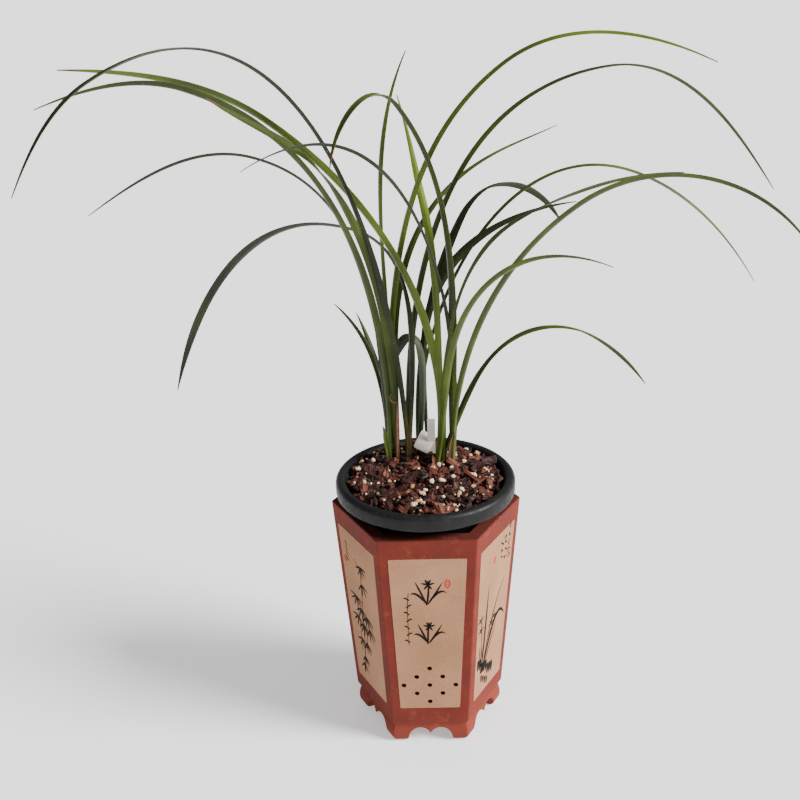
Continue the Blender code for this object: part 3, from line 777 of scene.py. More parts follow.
def chip_mesh(name, length, width, depth):
    """A flake of two split layers, the upper one shorter."""

    def build(bm):
        for layer, (reach, shift) in enumerate(((1.0, 0.0), (0.72, 0.12))):
            made = bmesh.ops.create_cube(bm, size=1)["verts"]
            edges = list({edge for vert in made for edge in vert.link_edges})
            bmesh.ops.subdivide_edges(bm, edges=edges, cuts=1, use_grid_fill=True)
            bm.verts.ensure_lookup_table()
            for vert in bm.verts[26 * layer:]:
                narrowing = 1 - 0.5 * abs(vert.co.x) * chance.uniform(0.2, 1.6)
                x = (vert.co.x * reach + shift) * length
                y = vert.co.y * width * narrowing * reach
                vert.co = Vector((x, y, (vert.co.z + 0.6 * layer) * depth * 0.62))
                vert.co.z += 0.2 * depth * math.sin(3 * x / length)
        jolted(bm, depth * 0.2)
        bmesh.ops.recalc_face_normals(bm, faces=bm.faces)

    return mesh_of(name, build)


def grain_mesh(name, size, dent, lobes):
    """A rounded lump of one to three lobes."""

    def build(bm):
        for lobe in range(lobes):
            rounds = 2 if size > 3 * MM else 1
            made = bmesh.ops.create_icosphere(bm, subdivisions=rounds, radius=size / 2)["verts"]
            way = Vector((chance.uniform(0.3, 0.5), chance.uniform(-0.3, 0.3), chance.uniform(-0.15, 0.15)))
            shift = way * size * lobe
            scale = 1 - 0.22 * lobe
            for vert in made:
                vert.co *= chance.uniform(1 - dent, 1 + dent * 0.4) * scale
                vert.co.z *= 0.8
                vert.co += shift

    return mesh_of(name, build)


def shape_collection(name, meshes):
    """Shapes for the scatter tree, in a collection that isn't in the scene, so they never show."""
    group = bpy.data.collections.new(name)
    for mesh in meshes:
        group.objects.link(bpy.data.objects.new(mesh.name, mesh))
    return group


# Length, width and depth of each chip shape, mm
chip_sizes = [(9, 5, 2.4), (7, 5.5, 2.8), (11, 4.4, 2.2), (6.5, 4.5, 2.8), (8, 6.5, 2.2), (6, 5, 3)]
chips = shape_collection(
    "chips", [chip_mesh(f"chip_{i}", *[value * MM for value in size]) for i, size in enumerate(chip_sizes)]
)
splinters = shape_collection(
    "splinters", [chip_mesh(f"splinter_{i}", 3.4 * MM, 1.6 * MM, 1.0 * MM) for i in range(4)]
)
grains = shape_collection("grains", [grain_mesh(f"grain_{i}", 3.6 * MM, 0.2, 1 + i % 3) for i in range(6)])
crumbs = shape_collection("crumbs", [grain_mesh(f"crumb_{i}", 1.9 * MM, 0.25, 1 + i % 2) for i in range(4)])

# %% [markdown]
# Bark is reddish brown with fine grain along it and darker, wetter pieces among dry ones. The tone that
# the tree stored on each chip picks between them. Pumice goes from cream to tan in the same way.

# %% Bark and pumice finishes
def bark(name, dark, middle, light):
    wood = Finish(name, 0.8, 0.35)
    here = wood.place()
    tone = wood.tree.nodes.new("ShaderNodeAttribute")
    tone.attribute_name = "tone"
    stops = [(0.0, dark), (0.45, middle), (0.82, light), (1.0, shade(122, 72, 54))]
    colour = wood.ramp(tone.outputs["Fac"], stops)
    grain = wood.noise(wood.mapped(here, (1.0, 1.6, 2.4)), 700, 4.0, 0.65)
    colour = wood.blend(wood.span(grain, 0.42, 0.7, 0.0, 0.6), colour, dark)
    # Paler patches laid on in noise here are a painted highlight on the chips.
    colour = wood.blend(wood.span(wood.noise(here, 160), 0.58, 0.75, 0.0, 0.3), colour, shade(130, 84, 66))
    wood.colour(colour)
    wood.rough(wood.span(wood.noise(here, 240, 3.0), 0.4, 0.6, 0.5, 0.92))
    wood.bump(grain, 0.35 * MM)
    return wood.material


def pumice():
    stone = Finish("pumice", 0.92, 0.25)
    here = stone.place()
    tone = stone.tree.nodes.new("ShaderNodeAttribute")
    tone.attribute_name = "tone"
    stops = [
        (0.0, shade(172, 124, 80)),
        (0.3, shade(202, 162, 116)),
        (0.6, shade(218, 190, 152)),
        (1.0, shade(230, 216, 196)),
    ]
    colour = stone.ramp(tone.outputs["Fac"], stops)
    pores = stone.cells(here, 1500)
    colour = stone.blend(stone.span(pores, 0.28, 0.06, 0.0, 0.55), colour, shade(150, 112, 80))
    stone.colour(colour)
    stone.rough(stone.span(pores, 0.0, 0.5, 0.98, 0.85))
    stone.bump(pores, 0.3 * MM)
    return stone.material


BARK = bark("bark", shade(26, 10, 8), shade(62, 24, 17), shade(90, 40, 29))
CHARCOAL = bark("charcoal", shade(16, 14, 13), shade(34, 30, 28), shade(52, 46, 42))
PUMICE = pumice()

# %% Scatter the loose top layer
PATCH_SUNK = 2.0  # mm, how far under the heaped level the lowest pieces lie


def top_of_bed(bm, radius):
    """The round patch that pieces may land on."""
    bmesh.ops.create_circle(bm, cap_ends=True, cap_tris=True, segments=48, radius=radius * MM)
    bmesh.ops.subdivide_edges(bm, edges=bm.edges, cuts=4, use_grid_fill=True)
    for vert in bm.verts:
        x, y = vert.co.x / MM, vert.co.y / MM
        vert.co = spot(x, y, mix_height(x, y) + heaped(x, y) - PATCH_SUNK)


Layer = namedtuple("Layer", "name shapes finish per_square_metre smallest largest lift radius clumping seed")
LAYERS = [
    Layer("bark_bits", chips, BARK, 34000, 0.4, 0.85, 3.4 * MM, 68.0, 0.0, 3),
    Layer("bark_chips", chips, BARK, 14500, 1.15, 1.9, 4.6 * MM, 62.5, 0.0, 8),
    Layer("bark_splinters", splinters, BARK, 17000, 0.7, 1.6, 5.0 * MM, 67.8, 0.0, 5),
    Layer("charcoal_bits", chips, CHARCOAL, 4800, 0.6, 1.25, 4.6 * MM, 62.0, 0.0, 11),
    Layer("pumice_grains", grains, PUMICE, 8600, 0.8, 1.5, 6.2 * MM, 64.5, 0.8, 17),
    Layer("pumice_crumbs", crumbs, PUMICE, 15000, 0.7, 1.6, 6.4 * MM, 66.0, 0.9, 23),
]
for layer in LAYERS:
    patch = mesh_of("patch", lambda bm: top_of_bed(bm, layer.radius))
    values = {
        "Shapes": layer.shapes,
        "Amount": float(layer.per_square_metre),
        "Clumping": layer.clumping,
        "Smallest": layer.smallest,
        "Largest": layer.largest,
        "Lift": layer.lift,
        "Seed": layer.seed,
        "Finish": layer.finish,
    }
    made = add_object(layer.name, grown(patch, SCATTER, **values))
    keep(made, "bark_mix")
    print(layer.name, len(made.data.polygons), "faces")

# %% [markdown]
# The leaves are the plant: straps up to 70 cm long and barely 9 mm wide, folded along the midrib. Each
# one rises from its bulb, bends over in one upright plane and falls to a drawn-out tip. They could be
# drawn as curves by hand, but the plain model already says how each one goes, so the same few numbers
# are used: heading, the slope at the foot, a point at the bend and one at the tip. From them comes a
# fine row of points for the strip tree. A leaf also twists about its own length, which is why an arch
# can look as thin as wire on its way up and broad on its way down. Near the bulb a leaf faces the
# front. It turns to a facing of its own over the first half of its length, and to another towards its
# tip. A few angles for each leaf say this better than a random twist, because no two leaves agree.

# %% Leaf shapes
Shoot = namedtuple("Shoot", "x y columns ranks")
COLUMN_PITCH, RANK_PITCH, BULB_SHOW, SEAT = 7.4, 3.0, 1.2, 0.3

SHOOTS = {
    "left": Shoot(-28.5, 34, 2, 4),
    "middle": Shoot(-14.5, 33, 1, 3),
    "back": Shoot(-2, 50, 2, 3),
    "right": Shoot(18, 21.5, 3, 4),
}
Leaf = namedtuple("Leaf", "name shoot column rank heading rise bend tip width face")
LEAVES = [
    Leaf("leaf_left_1", "left", 0, 0, 204, 93, (153, 346, 21), (262, 340, -19), 8, 40),
    Leaf("leaf_left_2", "left", 0, 1, 192, 87, (103, 287, 18), (236, 249, -33), 6, 40),
    Leaf("leaf_left_3", "left", 0, 2, -24, 88, (107, 356, 36), (264, 359, -24), 7, 40),
    Leaf("leaf_left_4", "left", 0, 3, 180, 89, (13, 104, 72), (44, 154, 45), 6, 30),
    Leaf("leaf_left_5", "left", 1, 0, 225, 90, (66, 273, 52), (172, 347, 34), 7, 30),
    Leaf("leaf_left_6", "left", 1, 1, 15, 92, (-7, 183, 92), (17, 363, 63), 7, 40),
    Leaf("leaf_left_7", "left", 1, 2, 45, 87, (36, 215, 48), (224, 277, 9), 7, 20),
    Leaf("leaf_left_8", "left", 1, 3, 141, 81, (27, 104, 66), (44, 136, 54), 6, 20),
    Leaf("leaf_middle_1", "middle", 0, 0, 219, 88, (259, 363, -26), (319, 297, -61), 7, 30),
    Leaf("leaf_middle_2", "middle", 0, 1, 141, 92, (52, 211, 6), (330, -8, -68), 8, 40),
    Leaf("leaf_middle_3", "middle", 0, 2, 3, 91, (169, 345, 6), (314, 241, -55), 7, 40),
    Leaf("leaf_back_1", "back", 0, 0, 135, 100, (20, 107, -53), (46, 61, -58), 9, 40),
    Leaf("leaf_back_2", "back", 0, 1, 33, 92, (51, 219, 57), (165, 197, -57), 9, 20),
    Leaf("leaf_back_3", "back", 0, 2, 15, 92, (207, 248, -22), (337, 134, -56), 6, 40),
    Leaf("leaf_back_4", "back", 1, 0, 9, 86, (20, 176, 56), (136, 232, 3), 8, 30),
    Leaf("leaf_right_1", "right", 0, 0, -45, 77, (36, 157, 59), (179, 223, -10), 7, 30),
    Leaf("leaf_right_2", "right", 0, 2, 0, 63, (77, 127, 24), (185, 77, -55), 7, 20),
    Leaf("leaf_right_3", "right", 1, 0, -42, 92, (81, 243, 30), (215, 293, 6), 7, 30),
    Leaf("leaf_right_4", "right", 1, 1, 153, 84, (18, 246, 76), (39, 328, 70), 7, 20),
    Leaf("leaf_right_5", "right", 2, 3, 212, 97, (178, 293, -23), (184, 290, -26), 6, 30),
    Leaf("leaf_right_6", "right", 2, 0, -30, 92, (113, 254, 37), (286, 234, -55), 7, 30),
    Leaf("leaf_right_7", "right", 2, 1, 216, 88, (52, 327, 49), (114, 287, -82), 9, 40),
    Leaf("leaf_right_8", "right", 0, 3, 192, 100, (134, 318, 37), (282, 361, 3), 9, 15),
]
SHEATHS = [
    Leaf("new_shoot_left", "left", 0, -1, 180, 88, (2, 24, 80), (5, 41, 70), 6, 80),
    Leaf("dry_bract_left", "left", 1, -1, 0, 88, (1, 40, 89), (1, 66, 92), 5, 80),
    Leaf("brown_sheath_middle", "middle", 0, -1, 0, 90, (0, 24, 90), (1, 42, 86), 6, 80),
    Leaf("bract_right", "right", -0.1, -1, 180, 84, (1, 9, 80), (3, 16, 70), 5, 80),
    Leaf("sheath_right", "right", 1.65, -1, 0, 88, (1, 22, 86), (4, 39, 76), 7, 80),
]


def bezier(start, start_slope, end, end_slope, share):
    """A point of a curve between two points with given slopes, with handles as for a circular arc."""
    turn = math.radians(max(abs(end_slope - start_slope), 0.1))
    handle = (end - start).length * 2 / 3 * math.tan(turn / 4) / math.sin(turn / 2)
    leaving, arriving = math.radians(start_slope), math.radians(end_slope)
    first = start + handle * Vector((math.cos(leaving), math.sin(leaving)))
    second = end - handle * Vector((math.cos(arriving), math.sin(arriving)))
    rest = 1 - share
    return rest**3 * start + 3 * rest**2 * share * first + 3 * rest * share**2 * second + share**3 * end


CURVE_STEPS = 60  # points measured along each half of a leaf
FEWEST_STEPS = 14  # rows in the shortest strip


def centre_line(leaf, step_length):
    """Evenly spaced (reach, height) points in mm from the leaf's foot to its tip."""
    foot, bend, tip = Vector((0, 0)), Vector(leaf.bend[:2]), Vector(leaf.tip[:2])
    shares = [step / CURVE_STEPS for step in range(CURVE_STEPS + 1)]
    fine = [bezier(foot, leaf.rise, bend, leaf.bend[2], share) for share in shares]
    fine += [bezier(bend, leaf.bend[2], tip, leaf.tip[2], share) for share in shares[1:]]
    run = np.concatenate([[0], np.cumsum([(after - before).length for before, after in zip(fine, fine[1:])])])
    count = max(FEWEST_STEPS, round(run[-1] / step_length))
    wanted = np.linspace(0, run[-1], count + 1)
    reaches = np.interp(wanted, run, [point.x for point in fine])
    heights = np.interp(wanted, run, [point.y for point in fine])
    return [Vector(pair) for pair in zip(reaches, heights)]


def root_of(leaf):
    """Where the leaf's foot stands, on the bulb of its shoot."""
    shoot = SHOOTS[leaf.shoot]
    return spot(
        shoot.x + (leaf.column - (shoot.columns - 1) / 2) * COLUMN_PITCH,
        shoot.y + (leaf.rank - (shoot.ranks - 1) / 2) * RANK_PITCH,
        mix_height(shoot.x, shoot.y) + BULB_SHOW + SEAT,
    )


# Each blade's turn about its own length, degrees: once past the bulb, and at the tip
TURNS = {
    "leaf_left_1": (-154, -138),
    "leaf_left_2": (-170, -150),
    "leaf_left_3": (54, 22),
    "leaf_left_5": (-123, -243),
    "leaf_left_6": (11, 27),
    "leaf_left_7": (-3, -3),
    "leaf_middle_1": (-177, -181),
    "leaf_middle_2": (-147, -127),
    "leaf_middle_3": (23, -17),
    "leaf_back_1": (-1, 87),
    "leaf_back_2": (25, -39),
    "leaf_back_3": (3, 39),
    "leaf_back_4": (65, 25),
    "leaf_right_1": (167, 151),
    "leaf_right_2": (14, -34),
    "leaf_right_3": (48, -24),
    "leaf_right_4": (-103, -35),
    "leaf_right_5": (-186, -158),
    "leaf_right_6": (155, 139),
    "leaf_right_7": (-182, -186),
    "leaf_right_8": (-146, -142),
}
BLUNT_LEAVES = (
    "leaf_left_2",
    "leaf_left_5",
    "leaf_middle_1",
    "leaf_middle_2",
    "leaf_middle_3",
    "leaf_back_1",
    "leaf_back_2",
    "leaf_right_1",
    "leaf_right_2",
    "leaf_right_5",
    "leaf_right_6",
    "leaf_right_7",
    "leaf_right_8",
)
BLUNT = (0.8, 2.0)  # where a blunt blade starts to narrow, as a share of its length, and how suddenly
DRAWN_OUT = (0.58, 2.2)  # the same for a drawn-out one
TURNED_BY = 0.45  # share of the length over which a leaf turns from the bulb's facing to its own
TIP_TURN_FROM, TIP_TURN_OVER = 0.5, 0.35  # where the turn at the tip starts, and over how much it comes
TIP_NARROWING = 0.92
EDGE_WAVE = 0.03  # how much a blade's width wavers
LEAST_HALF = 0.12  # mm, half the width of the finest tip
FOOT_CREASE, CREASED_BY = 2.2, 0.3  # how much deeper the fold is at the foot, and where that ends


def leaf_strip(leaf, material, fold, base, columns, wobble, step_length=5.0, full_at=0.35):
    """The leaf's strip: its row of points, which way each faces, and its width there."""
    heading = math.radians(leaf.heading)
    along = Vector((math.cos(heading), math.sin(heading), 0))
    across = Vector((-math.sin(heading), math.cos(heading), 0))
    line = [along * point.x + Vector((0, 0, point.y)) for point in centre_line(leaf, step_length)]
    turn_at_bulb = math.atan2(math.cos(heading), math.sin(heading))
    usual = math.copysign(leaf.face if math.sin(heading) > 0 else 180 - leaf.face, math.cos(heading))
    turn_beyond, turn_at_tip = (math.radians(turn) for turn in TURNS.get(leaf.name, (usual, usual)))
    last = len(line) - 1
    phase = (leaf.heading * 0.37 + leaf.rise) % 6.28
    points, sides, ups, halves, creases = [], [], [], [], []
    for place, point in enumerate(line):
        share = place / last
        tangent = (line[min(place + 1, last)] - line[max(place - 1, 0)]).normalized()
        turn = turn_at_bulb + (turn_beyond - turn_at_bulb) * smoothstep(share / TURNED_BY)
        turn += (turn_at_tip - turn_beyond) * smoothstep((share - TIP_TURN_FROM) / TIP_TURN_OVER)
        turn += math.radians(wobble) * math.sin(share * 11 + phase) * smoothstep(share * 3)
        side = Matrix.Rotation(turn, 3, tangent) @ across
        width = base + (1 - base) * smoothstep(share / full_at)
        narrows_at, sharpness = BLUNT if leaf.name in BLUNT_LEAVES else DRAWN_OUT
        width *= 1 - TIP_NARROWING * max(0, (share - narrows_at) / (1 - narrows_at)) ** sharpness
        width *= 1 + EDGE_WAVE * math.sin(share * 23 + phase)
        points.append(root_of(leaf) + point * MM)
        sides.append(side)
        ups.append(side.cross(tangent))
        halves.append(max(leaf.width / 2 * width, LEAST_HALF) * MM)
        creases.append(1 + FOOT_CREASE * (1 - smoothstep(share / CREASED_BY)))
    return strip(points, sides, ups, halves, creases, columns, fold, material)


print("leaves:", len(LEAVES), "sheaths:", len(SHEATHS))

# %% [markdown]
# A leaf's colour has a direction: fine veins run its whole length, a darker line runs down the midrib,
# a paler line along each edge is painted highlight, the foot is yellower and the very tip is dry and
# brown. The strip tree gave each leaf a UV map, across in U and along in V, so the pattern follows the
# leaf wherever it bends. Young and old leaves differ, so four recipes of the same finish go from fresh
# to nearly black green.

# %% Leaf finishes
def leaf_green(name, dark, middle, light, gloss):
    leaf = Finish(name, gloss, 0.22)
    uv = leaf.uv()
    across, along = leaf.axis(uv, "X"), leaf.axis(uv, "Y")
    here = leaf.place()
    drift = leaf.noise(here, 16, 3.0)
    tone = leaf.ramp(drift, [(0.3, dark), (0.52, middle), (0.75, light)])
    veins = leaf.noise(leaf.mapped(uv, (46.0, 3.0, 1.0)), 1.0, 3.0, 0.6)
    tone = leaf.blend(leaf.span(veins, 0.45, 0.72, 0.0, 0.45), tone, light)
    tone = leaf.blend(leaf.span(veins, 0.48, 0.28, 0.0, 0.4), tone, dark)
    from_middle = leaf.math("ABSOLUTE", leaf.math("SUBTRACT", across, 0.5), 0.0)
    tone = leaf.blend(leaf.span(from_middle, 0.055, 0.02, 0.0, 0.5), tone, dark)
    # Both edges are drawn paler here: a painted highlight along the leaf's margins.
    tone = leaf.blend(leaf.span(from_middle, 0.46, 0.5, 0.0, 0.35), tone, light)
    tone = leaf.blend(leaf.span(along, 0.1, 0.0, 0.0, 0.55), tone, shade(112, 126, 56))
    dry = leaf.span(leaf.math("ADD", along, leaf.math("MULTIPLY", drift, 0.02)), 0.978, 0.992)
    tone = leaf.blend(dry, tone, shade(88, 56, 38))
    flecks = leaf.noise(here, 300, 2.0)
    tone = leaf.blend(leaf.span(flecks, 0.68, 0.8, 0.0, 0.25), tone, shade(150, 156, 104))
    leaf.colour(tone)
    leaf.rough(leaf.span(veins, 0.3, 0.7, gloss - 0.06, gloss + 0.1))
    leaf.bump(veins, 0.15 * MM, 0.6)
    return leaf.material


GREENS = {
    "bright": leaf_green("leaf_bright", shade(52, 66, 10), shade(80, 98, 18), shade(112, 126, 40), 0.44),
    "middle": leaf_green("leaf_middle", shade(32, 42, 8), shade(50, 62, 12), shade(80, 92, 26), 0.46),
    "dark": leaf_green("leaf_dark", shade(18, 22, 6), shade(30, 35, 10), shade(50, 56, 18), 0.5),
    "grey": leaf_green("leaf_grey", shade(30, 36, 24), shade(42, 50, 34), shade(66, 74, 50), 0.55),
}
SHADES = {
    "leaf_right_8": "bright",
    "leaf_left_6": "bright",
    "leaf_left_3": "bright",
    "leaf_right_4": "bright",
    "leaf_middle_1": "dark",
    "leaf_middle_2": "dark",
    "leaf_left_2": "dark",
    "leaf_back_2": "dark",
    "leaf_back_4": "dark",
    "leaf_back_1": "grey",
    "leaf_right_5": "grey",
}
LEAF_FOLD, LEAF_COLUMNS, LEAF_WOBBLE = 0.42, 6, 4.0
LEAF_THICK, HUSK_THICK = 0.5, 0.4  # mm
FOOT_WIDTH, FULL_AT = 0.48, 0.35  # width at the bulb, as a share, and where the full width is reached
SLIM_FOOT_WIDTH, SLIM_FULL_AT = 0.34, 0.62  # the same in the back shoot
SHARP_FOLD = math.radians(32)
blade_faces = 0
for leaf in LEAVES:
    green = GREENS[SHADES.get(leaf.name, "middle")]
    foot, full_at = (SLIM_FOOT_WIDTH, SLIM_FULL_AT) if leaf.shoot == "back" else (FOOT_WIDTH, FULL_AT)
    strap = leaf_strip(leaf, green, LEAF_FOLD, foot, LEAF_COLUMNS, LEAF_WOBBLE, full_at=full_at)
    blade = add_object(leaf.name + "_blade", strap)
    thickened(blade, LEAF_THICK)
    blade.data.shade_smooth()
    blade.data.set_sharp_from_angle(angle=SHARP_FOLD)
    keep(blade, "leaf", leaf.name)
    blade_faces += len(blade.data.polygons)
print("blades:", blade_faces)

# %% [markdown]
# Round the foot of each shoot stand short sheaths: the dry, papery husks of its first leaves, pinkish
# brown with fine ribs and torn edges, and one green new shoot. They are strips too, wrapped the other
# way and thinner, in a finish that goes from straw to maroon.

# %% Sheaths
def papery_husk(name, dark, middle, light):
    husk = Finish(name, 0.7, 0.35)
    uv = husk.uv()
    ribs = husk.noise(husk.mapped(uv, (34.0, 2.0, 1.0)), 1.0, 4.0, 0.7)
    tone = husk.ramp(ribs, [(0.3, dark), (0.5, middle), (0.72, light)])
    along = husk.axis(uv, "Y")
    tone = husk.blend(husk.span(along, 0.7, 1.0, 0.0, 0.7), tone, dark)
    blotch = husk.noise(husk.place(), 180, 3.0)
    tone = husk.blend(husk.span(blotch, 0.55, 0.7, 0.0, 0.6), tone, shade(92, 46, 38))
    husk.colour(tone)
    husk.rough(husk.span(ribs, 0.3, 0.7, 0.6, 0.85))
    husk.bump(ribs, 0.25 * MM)
    return husk.material


HUSK = papery_husk("papery_husk", shade(92, 44, 36), shade(140, 84, 66), shade(182, 140, 112))
YOUNG = leaf_green("leaf_young", shade(44, 56, 20), shade(70, 88, 32), shade(112, 118, 58), 0.45)
STREAKED = papery_husk("streaked_husk", shade(56, 26, 24), shade(74, 50, 28), shade(120, 122, 54))
SKINS = {"new_shoot_left": YOUNG, "sheath_right": STREAKED, "brown_sheath_middle": STREAKED}
SLIMNESS = {"dry_bract_left": 0.45, "brown_sheath_middle": 0.6, "sheath_right": 0.7}  # share of the width
HUSK_FOLD, HUSK_FOOT_WIDTH, HUSK_COLUMNS, HUSK_WOBBLE, HUSK_STEP = -0.4, 0.8, 8, 2.0, 1.5
for leaf in SHEATHS:
    slim = leaf._replace(width=leaf.width * SLIMNESS.get(leaf.name, 0.8))
    wrap = leaf_strip(
        slim, SKINS.get(leaf.name, HUSK), HUSK_FOLD, HUSK_FOOT_WIDTH, HUSK_COLUMNS, HUSK_WOBBLE, HUSK_STEP
    )
    husk = add_object(leaf.name + "_husk", wrap)
    thickened(husk, HUSK_THICK)
    husk.data.shade_smooth()
    keep(husk, "leaf" if leaf.name == "new_shoot_left" else "dry_sheath", leaf.name)
print("husks:", len(SHEATHS))

# %% [markdown]
# The tallest dry husk is torn at its end, and the torn sliver has curled up like a wood shaving. It is
# one more narrow strip, along most of a circle of 4.5 mm that starts at the husk's tip.

# %% Torn curl
CURL_RADIUS, CURL_HALF, CURL_POINTS = 4.5, 0.6, 12  # mm, mm and how many
CURL_FROM, CURL_TO = -0.3, 2.6  # how far round the circle it runs, radians
torn = next(leaf for leaf in SHEATHS if leaf.name == "dry_bract_left")
torn_way = math.radians(torn.heading)
torn_reach = Vector((math.cos(torn_way), math.sin(torn_way), 0)) * torn.tip[0] + Vector((0, 0, torn.tip[1]))
torn_end = root_of(torn) + torn_reach * MM
curl_points = [
    torn_end
    + Vector((-1.4 - CURL_RADIUS * math.sin(turn), -2.0, CURL_RADIUS * (1 - math.cos(turn)) - 1.0)) * MM
    for turn in np.linspace(CURL_FROM, CURL_TO, CURL_POINTS)
]
curl_sides, curl_ups = [Vector((0, 1, 0))] * CURL_POINTS, [Vector((0, 0, 1))] * CURL_POINTS
curl_halves, uncreased = [CURL_HALF * MM] * CURL_POINTS, [0.0] * CURL_POINTS
shaving = strip(curl_points, curl_sides, curl_ups, curl_halves, uncreased, 2, 0.0, HUSK)
curl = add_object("torn_curl", shaving)
thickened(curl, HUSK_THICK, offset=-1)
keep(curl, "dry_sheath")
print("torn curl:", len(curl.data.polygons), "faces")

# %% [markdown]
# A bulb is the swollen foot that a fan of leaves grows from, mostly buried. The plain model has a flat
# block there. The real one is domed and ribbed lengthwise, with a crease between one leaf and the
# next, so it is made as a ball squashed to the block's size, its ribs pushed out by a sine, its skin
# waxy and green going to straw.

# %% Bulbs
def add_bulb(bm, low, high):
    middle, half = (low + high) / 2, (high - low) / 2
    bmesh.ops.create_uvsphere(bm, u_segments=64, v_segments=24, radius=1)
    for vert in bm.verts:
        x, y, z = vert.co
        around = math.atan2(y, x)
        level = math.sqrt(max(0.0, 1 - z * z)) ** 0.45
        squared = 1 / max(abs(math.cos(around)), abs(math.sin(around))) ** 0.55
        ribs = 1 + 0.035 * math.sin(around * 18) * level
        out = level * squared * ribs * 0.93
        x, y = math.cos(around) * out * half.x, math.sin(around) * out * half.y
        vert.co = middle + Vector((x, y, z * half.z))
    bmesh.ops.recalc_face_normals(bm, faces=bm.faces)


def waxy_bulb():
    skin = Finish("waxy_bulb", 0.5, 0.45)
    here = skin.place()
    ribs = skin.noise(skin.mapped(here, (1.0, 1.0, 0.12)), 900, 3.0, 0.6)
    stops = [(0.3, shade(92, 88, 44)), (0.55, shade(132, 130, 68)), (0.75, shade(170, 152, 100))]
    tone = skin.ramp(ribs, stops)
    blotch = skin.noise(here, 240, 3.0)
    tone = skin.blend(skin.span(blotch, 0.5, 0.7, 0.0, 0.7), tone, shade(120, 82, 60))
    skin.colour(tone)
    skin.rough(skin.span(ribs, 0.3, 0.7, 0.42, 0.7))
    skin.bump(ribs, 0.3 * MM)
    return skin.material


WAX = waxy_bulb()
for shoot_name in SHOOTS:
    low, high = (Vector(corner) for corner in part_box(f"bulb_{shoot_name}"))
    ball = mesh_of("bulb", lambda bm: add_bulb(bm, low, high))
    bulb = add_object(f"bulb_{shoot_name}_skin", ball, WAX)
    bulb.data.shade_smooth()
    keep(bulb, "bulb", f"bulb_{shoot_name}")
    print("bulb", shoot_name, [round(value * 1000, 1) for value in high - low])

# %% [markdown]
# The label is a die-cut piece of white plastic sheet, and the plain model's shape is already right. It
# gets a finish: off-white, slightly yellowed, with faint scratches and specks of soil.

# %% Label
def white_sheet():
    sheet = Finish("white_sheet", 0.5, 0.45)
    here = sheet.place()
    cloud = sheet.noise(here, 60, 3.0)
    tone = sheet.ramp(cloud, [(0.35, shade(218, 208, 200)), (0.7, shade(236, 228, 220))])
    dirt = sheet.noise(here, 520, 4.0, 0.7)
    tone = sheet.blend(sheet.span(dirt, 0.62, 0.78, 0.0, 0.7), tone, shade(150, 116, 92))
    sheet.colour(tone)
    sheet.rough(sheet.span(dirt, 0.3, 0.7, 0.42, 0.62))
    sheet.bump(sheet.noise(here, 900, 2.0), 0.04 * MM, 0.4)
    return sheet.material


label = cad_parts["plant_label"]
label.data.materials.clear()
label.data.materials.append(white_sheet())
print("label finished")

# %% [markdown]
# The panels are painted with a brush in thin black slip: bamboo on one side, orchid grass on the next.
# The front has two brush sprigs of our own with a thin third one beside them, where such pots often
# carry writing, and a plain red oval for the maker's seal. Each stroke is a strip: it starts fine,
# swells and ends in a point. The strip tree lays it on the side of the pot, and Solidify gives the
# dried slip its body. A stroke is given as points (across, height) in mm on the side, and its widths.

# %% Brush strokes
INK_LIFT = PANEL_COAT + 0.02
INK_BODY = 0.1
FINEST_HAIR = 0.05  # mm, half the width that a stroke never falls under


def on_curve(points, share):
    """A point of the smooth curve that the given points pull on."""
    while len(points) > 1:
        points = [before.lerp(after, share) for before, after in zip(points, points[1:])]
    return points[0]


def stroke(side, points, widths, material, steps=14):
    """One brush stroke: widths are its start, its middle and its end, in mm."""
    path = [on_curve([Vector(point) for point in points], step / steps) for step in range(steps + 1)]
    places = [on_side(side, point.x, point.y, INK_LIFT) for point in path]
    facing = side_facing(side)
    sides, halves = [], []
    for step in range(steps + 1):
        tangent = (places[min(step + 1, steps)] - places[max(step - 1, 0)]).normalized()
        sides.append(tangent.cross(facing))
        share = step / steps
        pull = 2 * widths[1] - (widths[0] + widths[2]) / 2
        width = (1 - share) ** 2 * widths[0] + 2 * share * (1 - share) * pull
        halves.append(max((width + share**2 * widths[2]) / 2, FINEST_HAIR) * MM)
    flat = [0.0] * (steps + 1)
    return strip(places, sides, [facing] * (steps + 1), halves, flat, 2, 0.0, material)


def painted(name, material, strokes):
    """All strokes of one painting as one piece, with the body of dried slip."""
    meshes = [stroke(*given, material) for given in strokes]
    piece = add_object(name, joined(name, meshes, material))
    thickened(piece, INK_BODY, offset=1)
    keep(piece, "red_clay")
    print(name, len(strokes), "strokes,", len(piece.data.polygons), "faces")
    return piece


def ink_slip(name, tone, thin):
    ink = Finish(name, 0.8, 0.15)
    here = ink.place()
    dry_brush = ink.noise(here, 1100, 3.0, 0.7)
    ink.colour(ink.ramp(dry_brush, [(0.35, tone), (0.6, tone), (0.85, thin)]))
    ink.rough(ink.span(dry_brush, 0.3, 0.7, 0.7, 0.95))
    ink.bump(dry_brush, 0.05 * MM, 0.5)
    return ink.material


INK = ink_slip("ink", shade(16, 14, 14), shade(56, 46, 42))
SEAL_RED = ink_slip("seal_red", shade(186, 22, 24), shade(196, 60, 50))


def leaf_marks(side, x, z, spread, length, count, lean=0.0):
    """A bamboo leaf cluster: pointed strokes that fan downwards from one twig."""
    marks = []
    for place in range(count):
        angle = math.radians(-90 + lean + spread * (place / max(count - 1, 1) - 0.5))
        reach = length * (1 - 0.25 * abs(place / max(count - 1, 1) - 0.5))
        end = (x + reach * math.cos(angle), z + reach * math.sin(angle))
        mid = ((x + end[0]) / 2 + 0.8, (z + end[1]) / 2)
        marks.append((side, [(x, z), mid, end], (0.5, 2.0, 0.1)))
    return marks


def stem(side, points, width):
    return (side, points, (width, width * 0.85, width * 0.7))


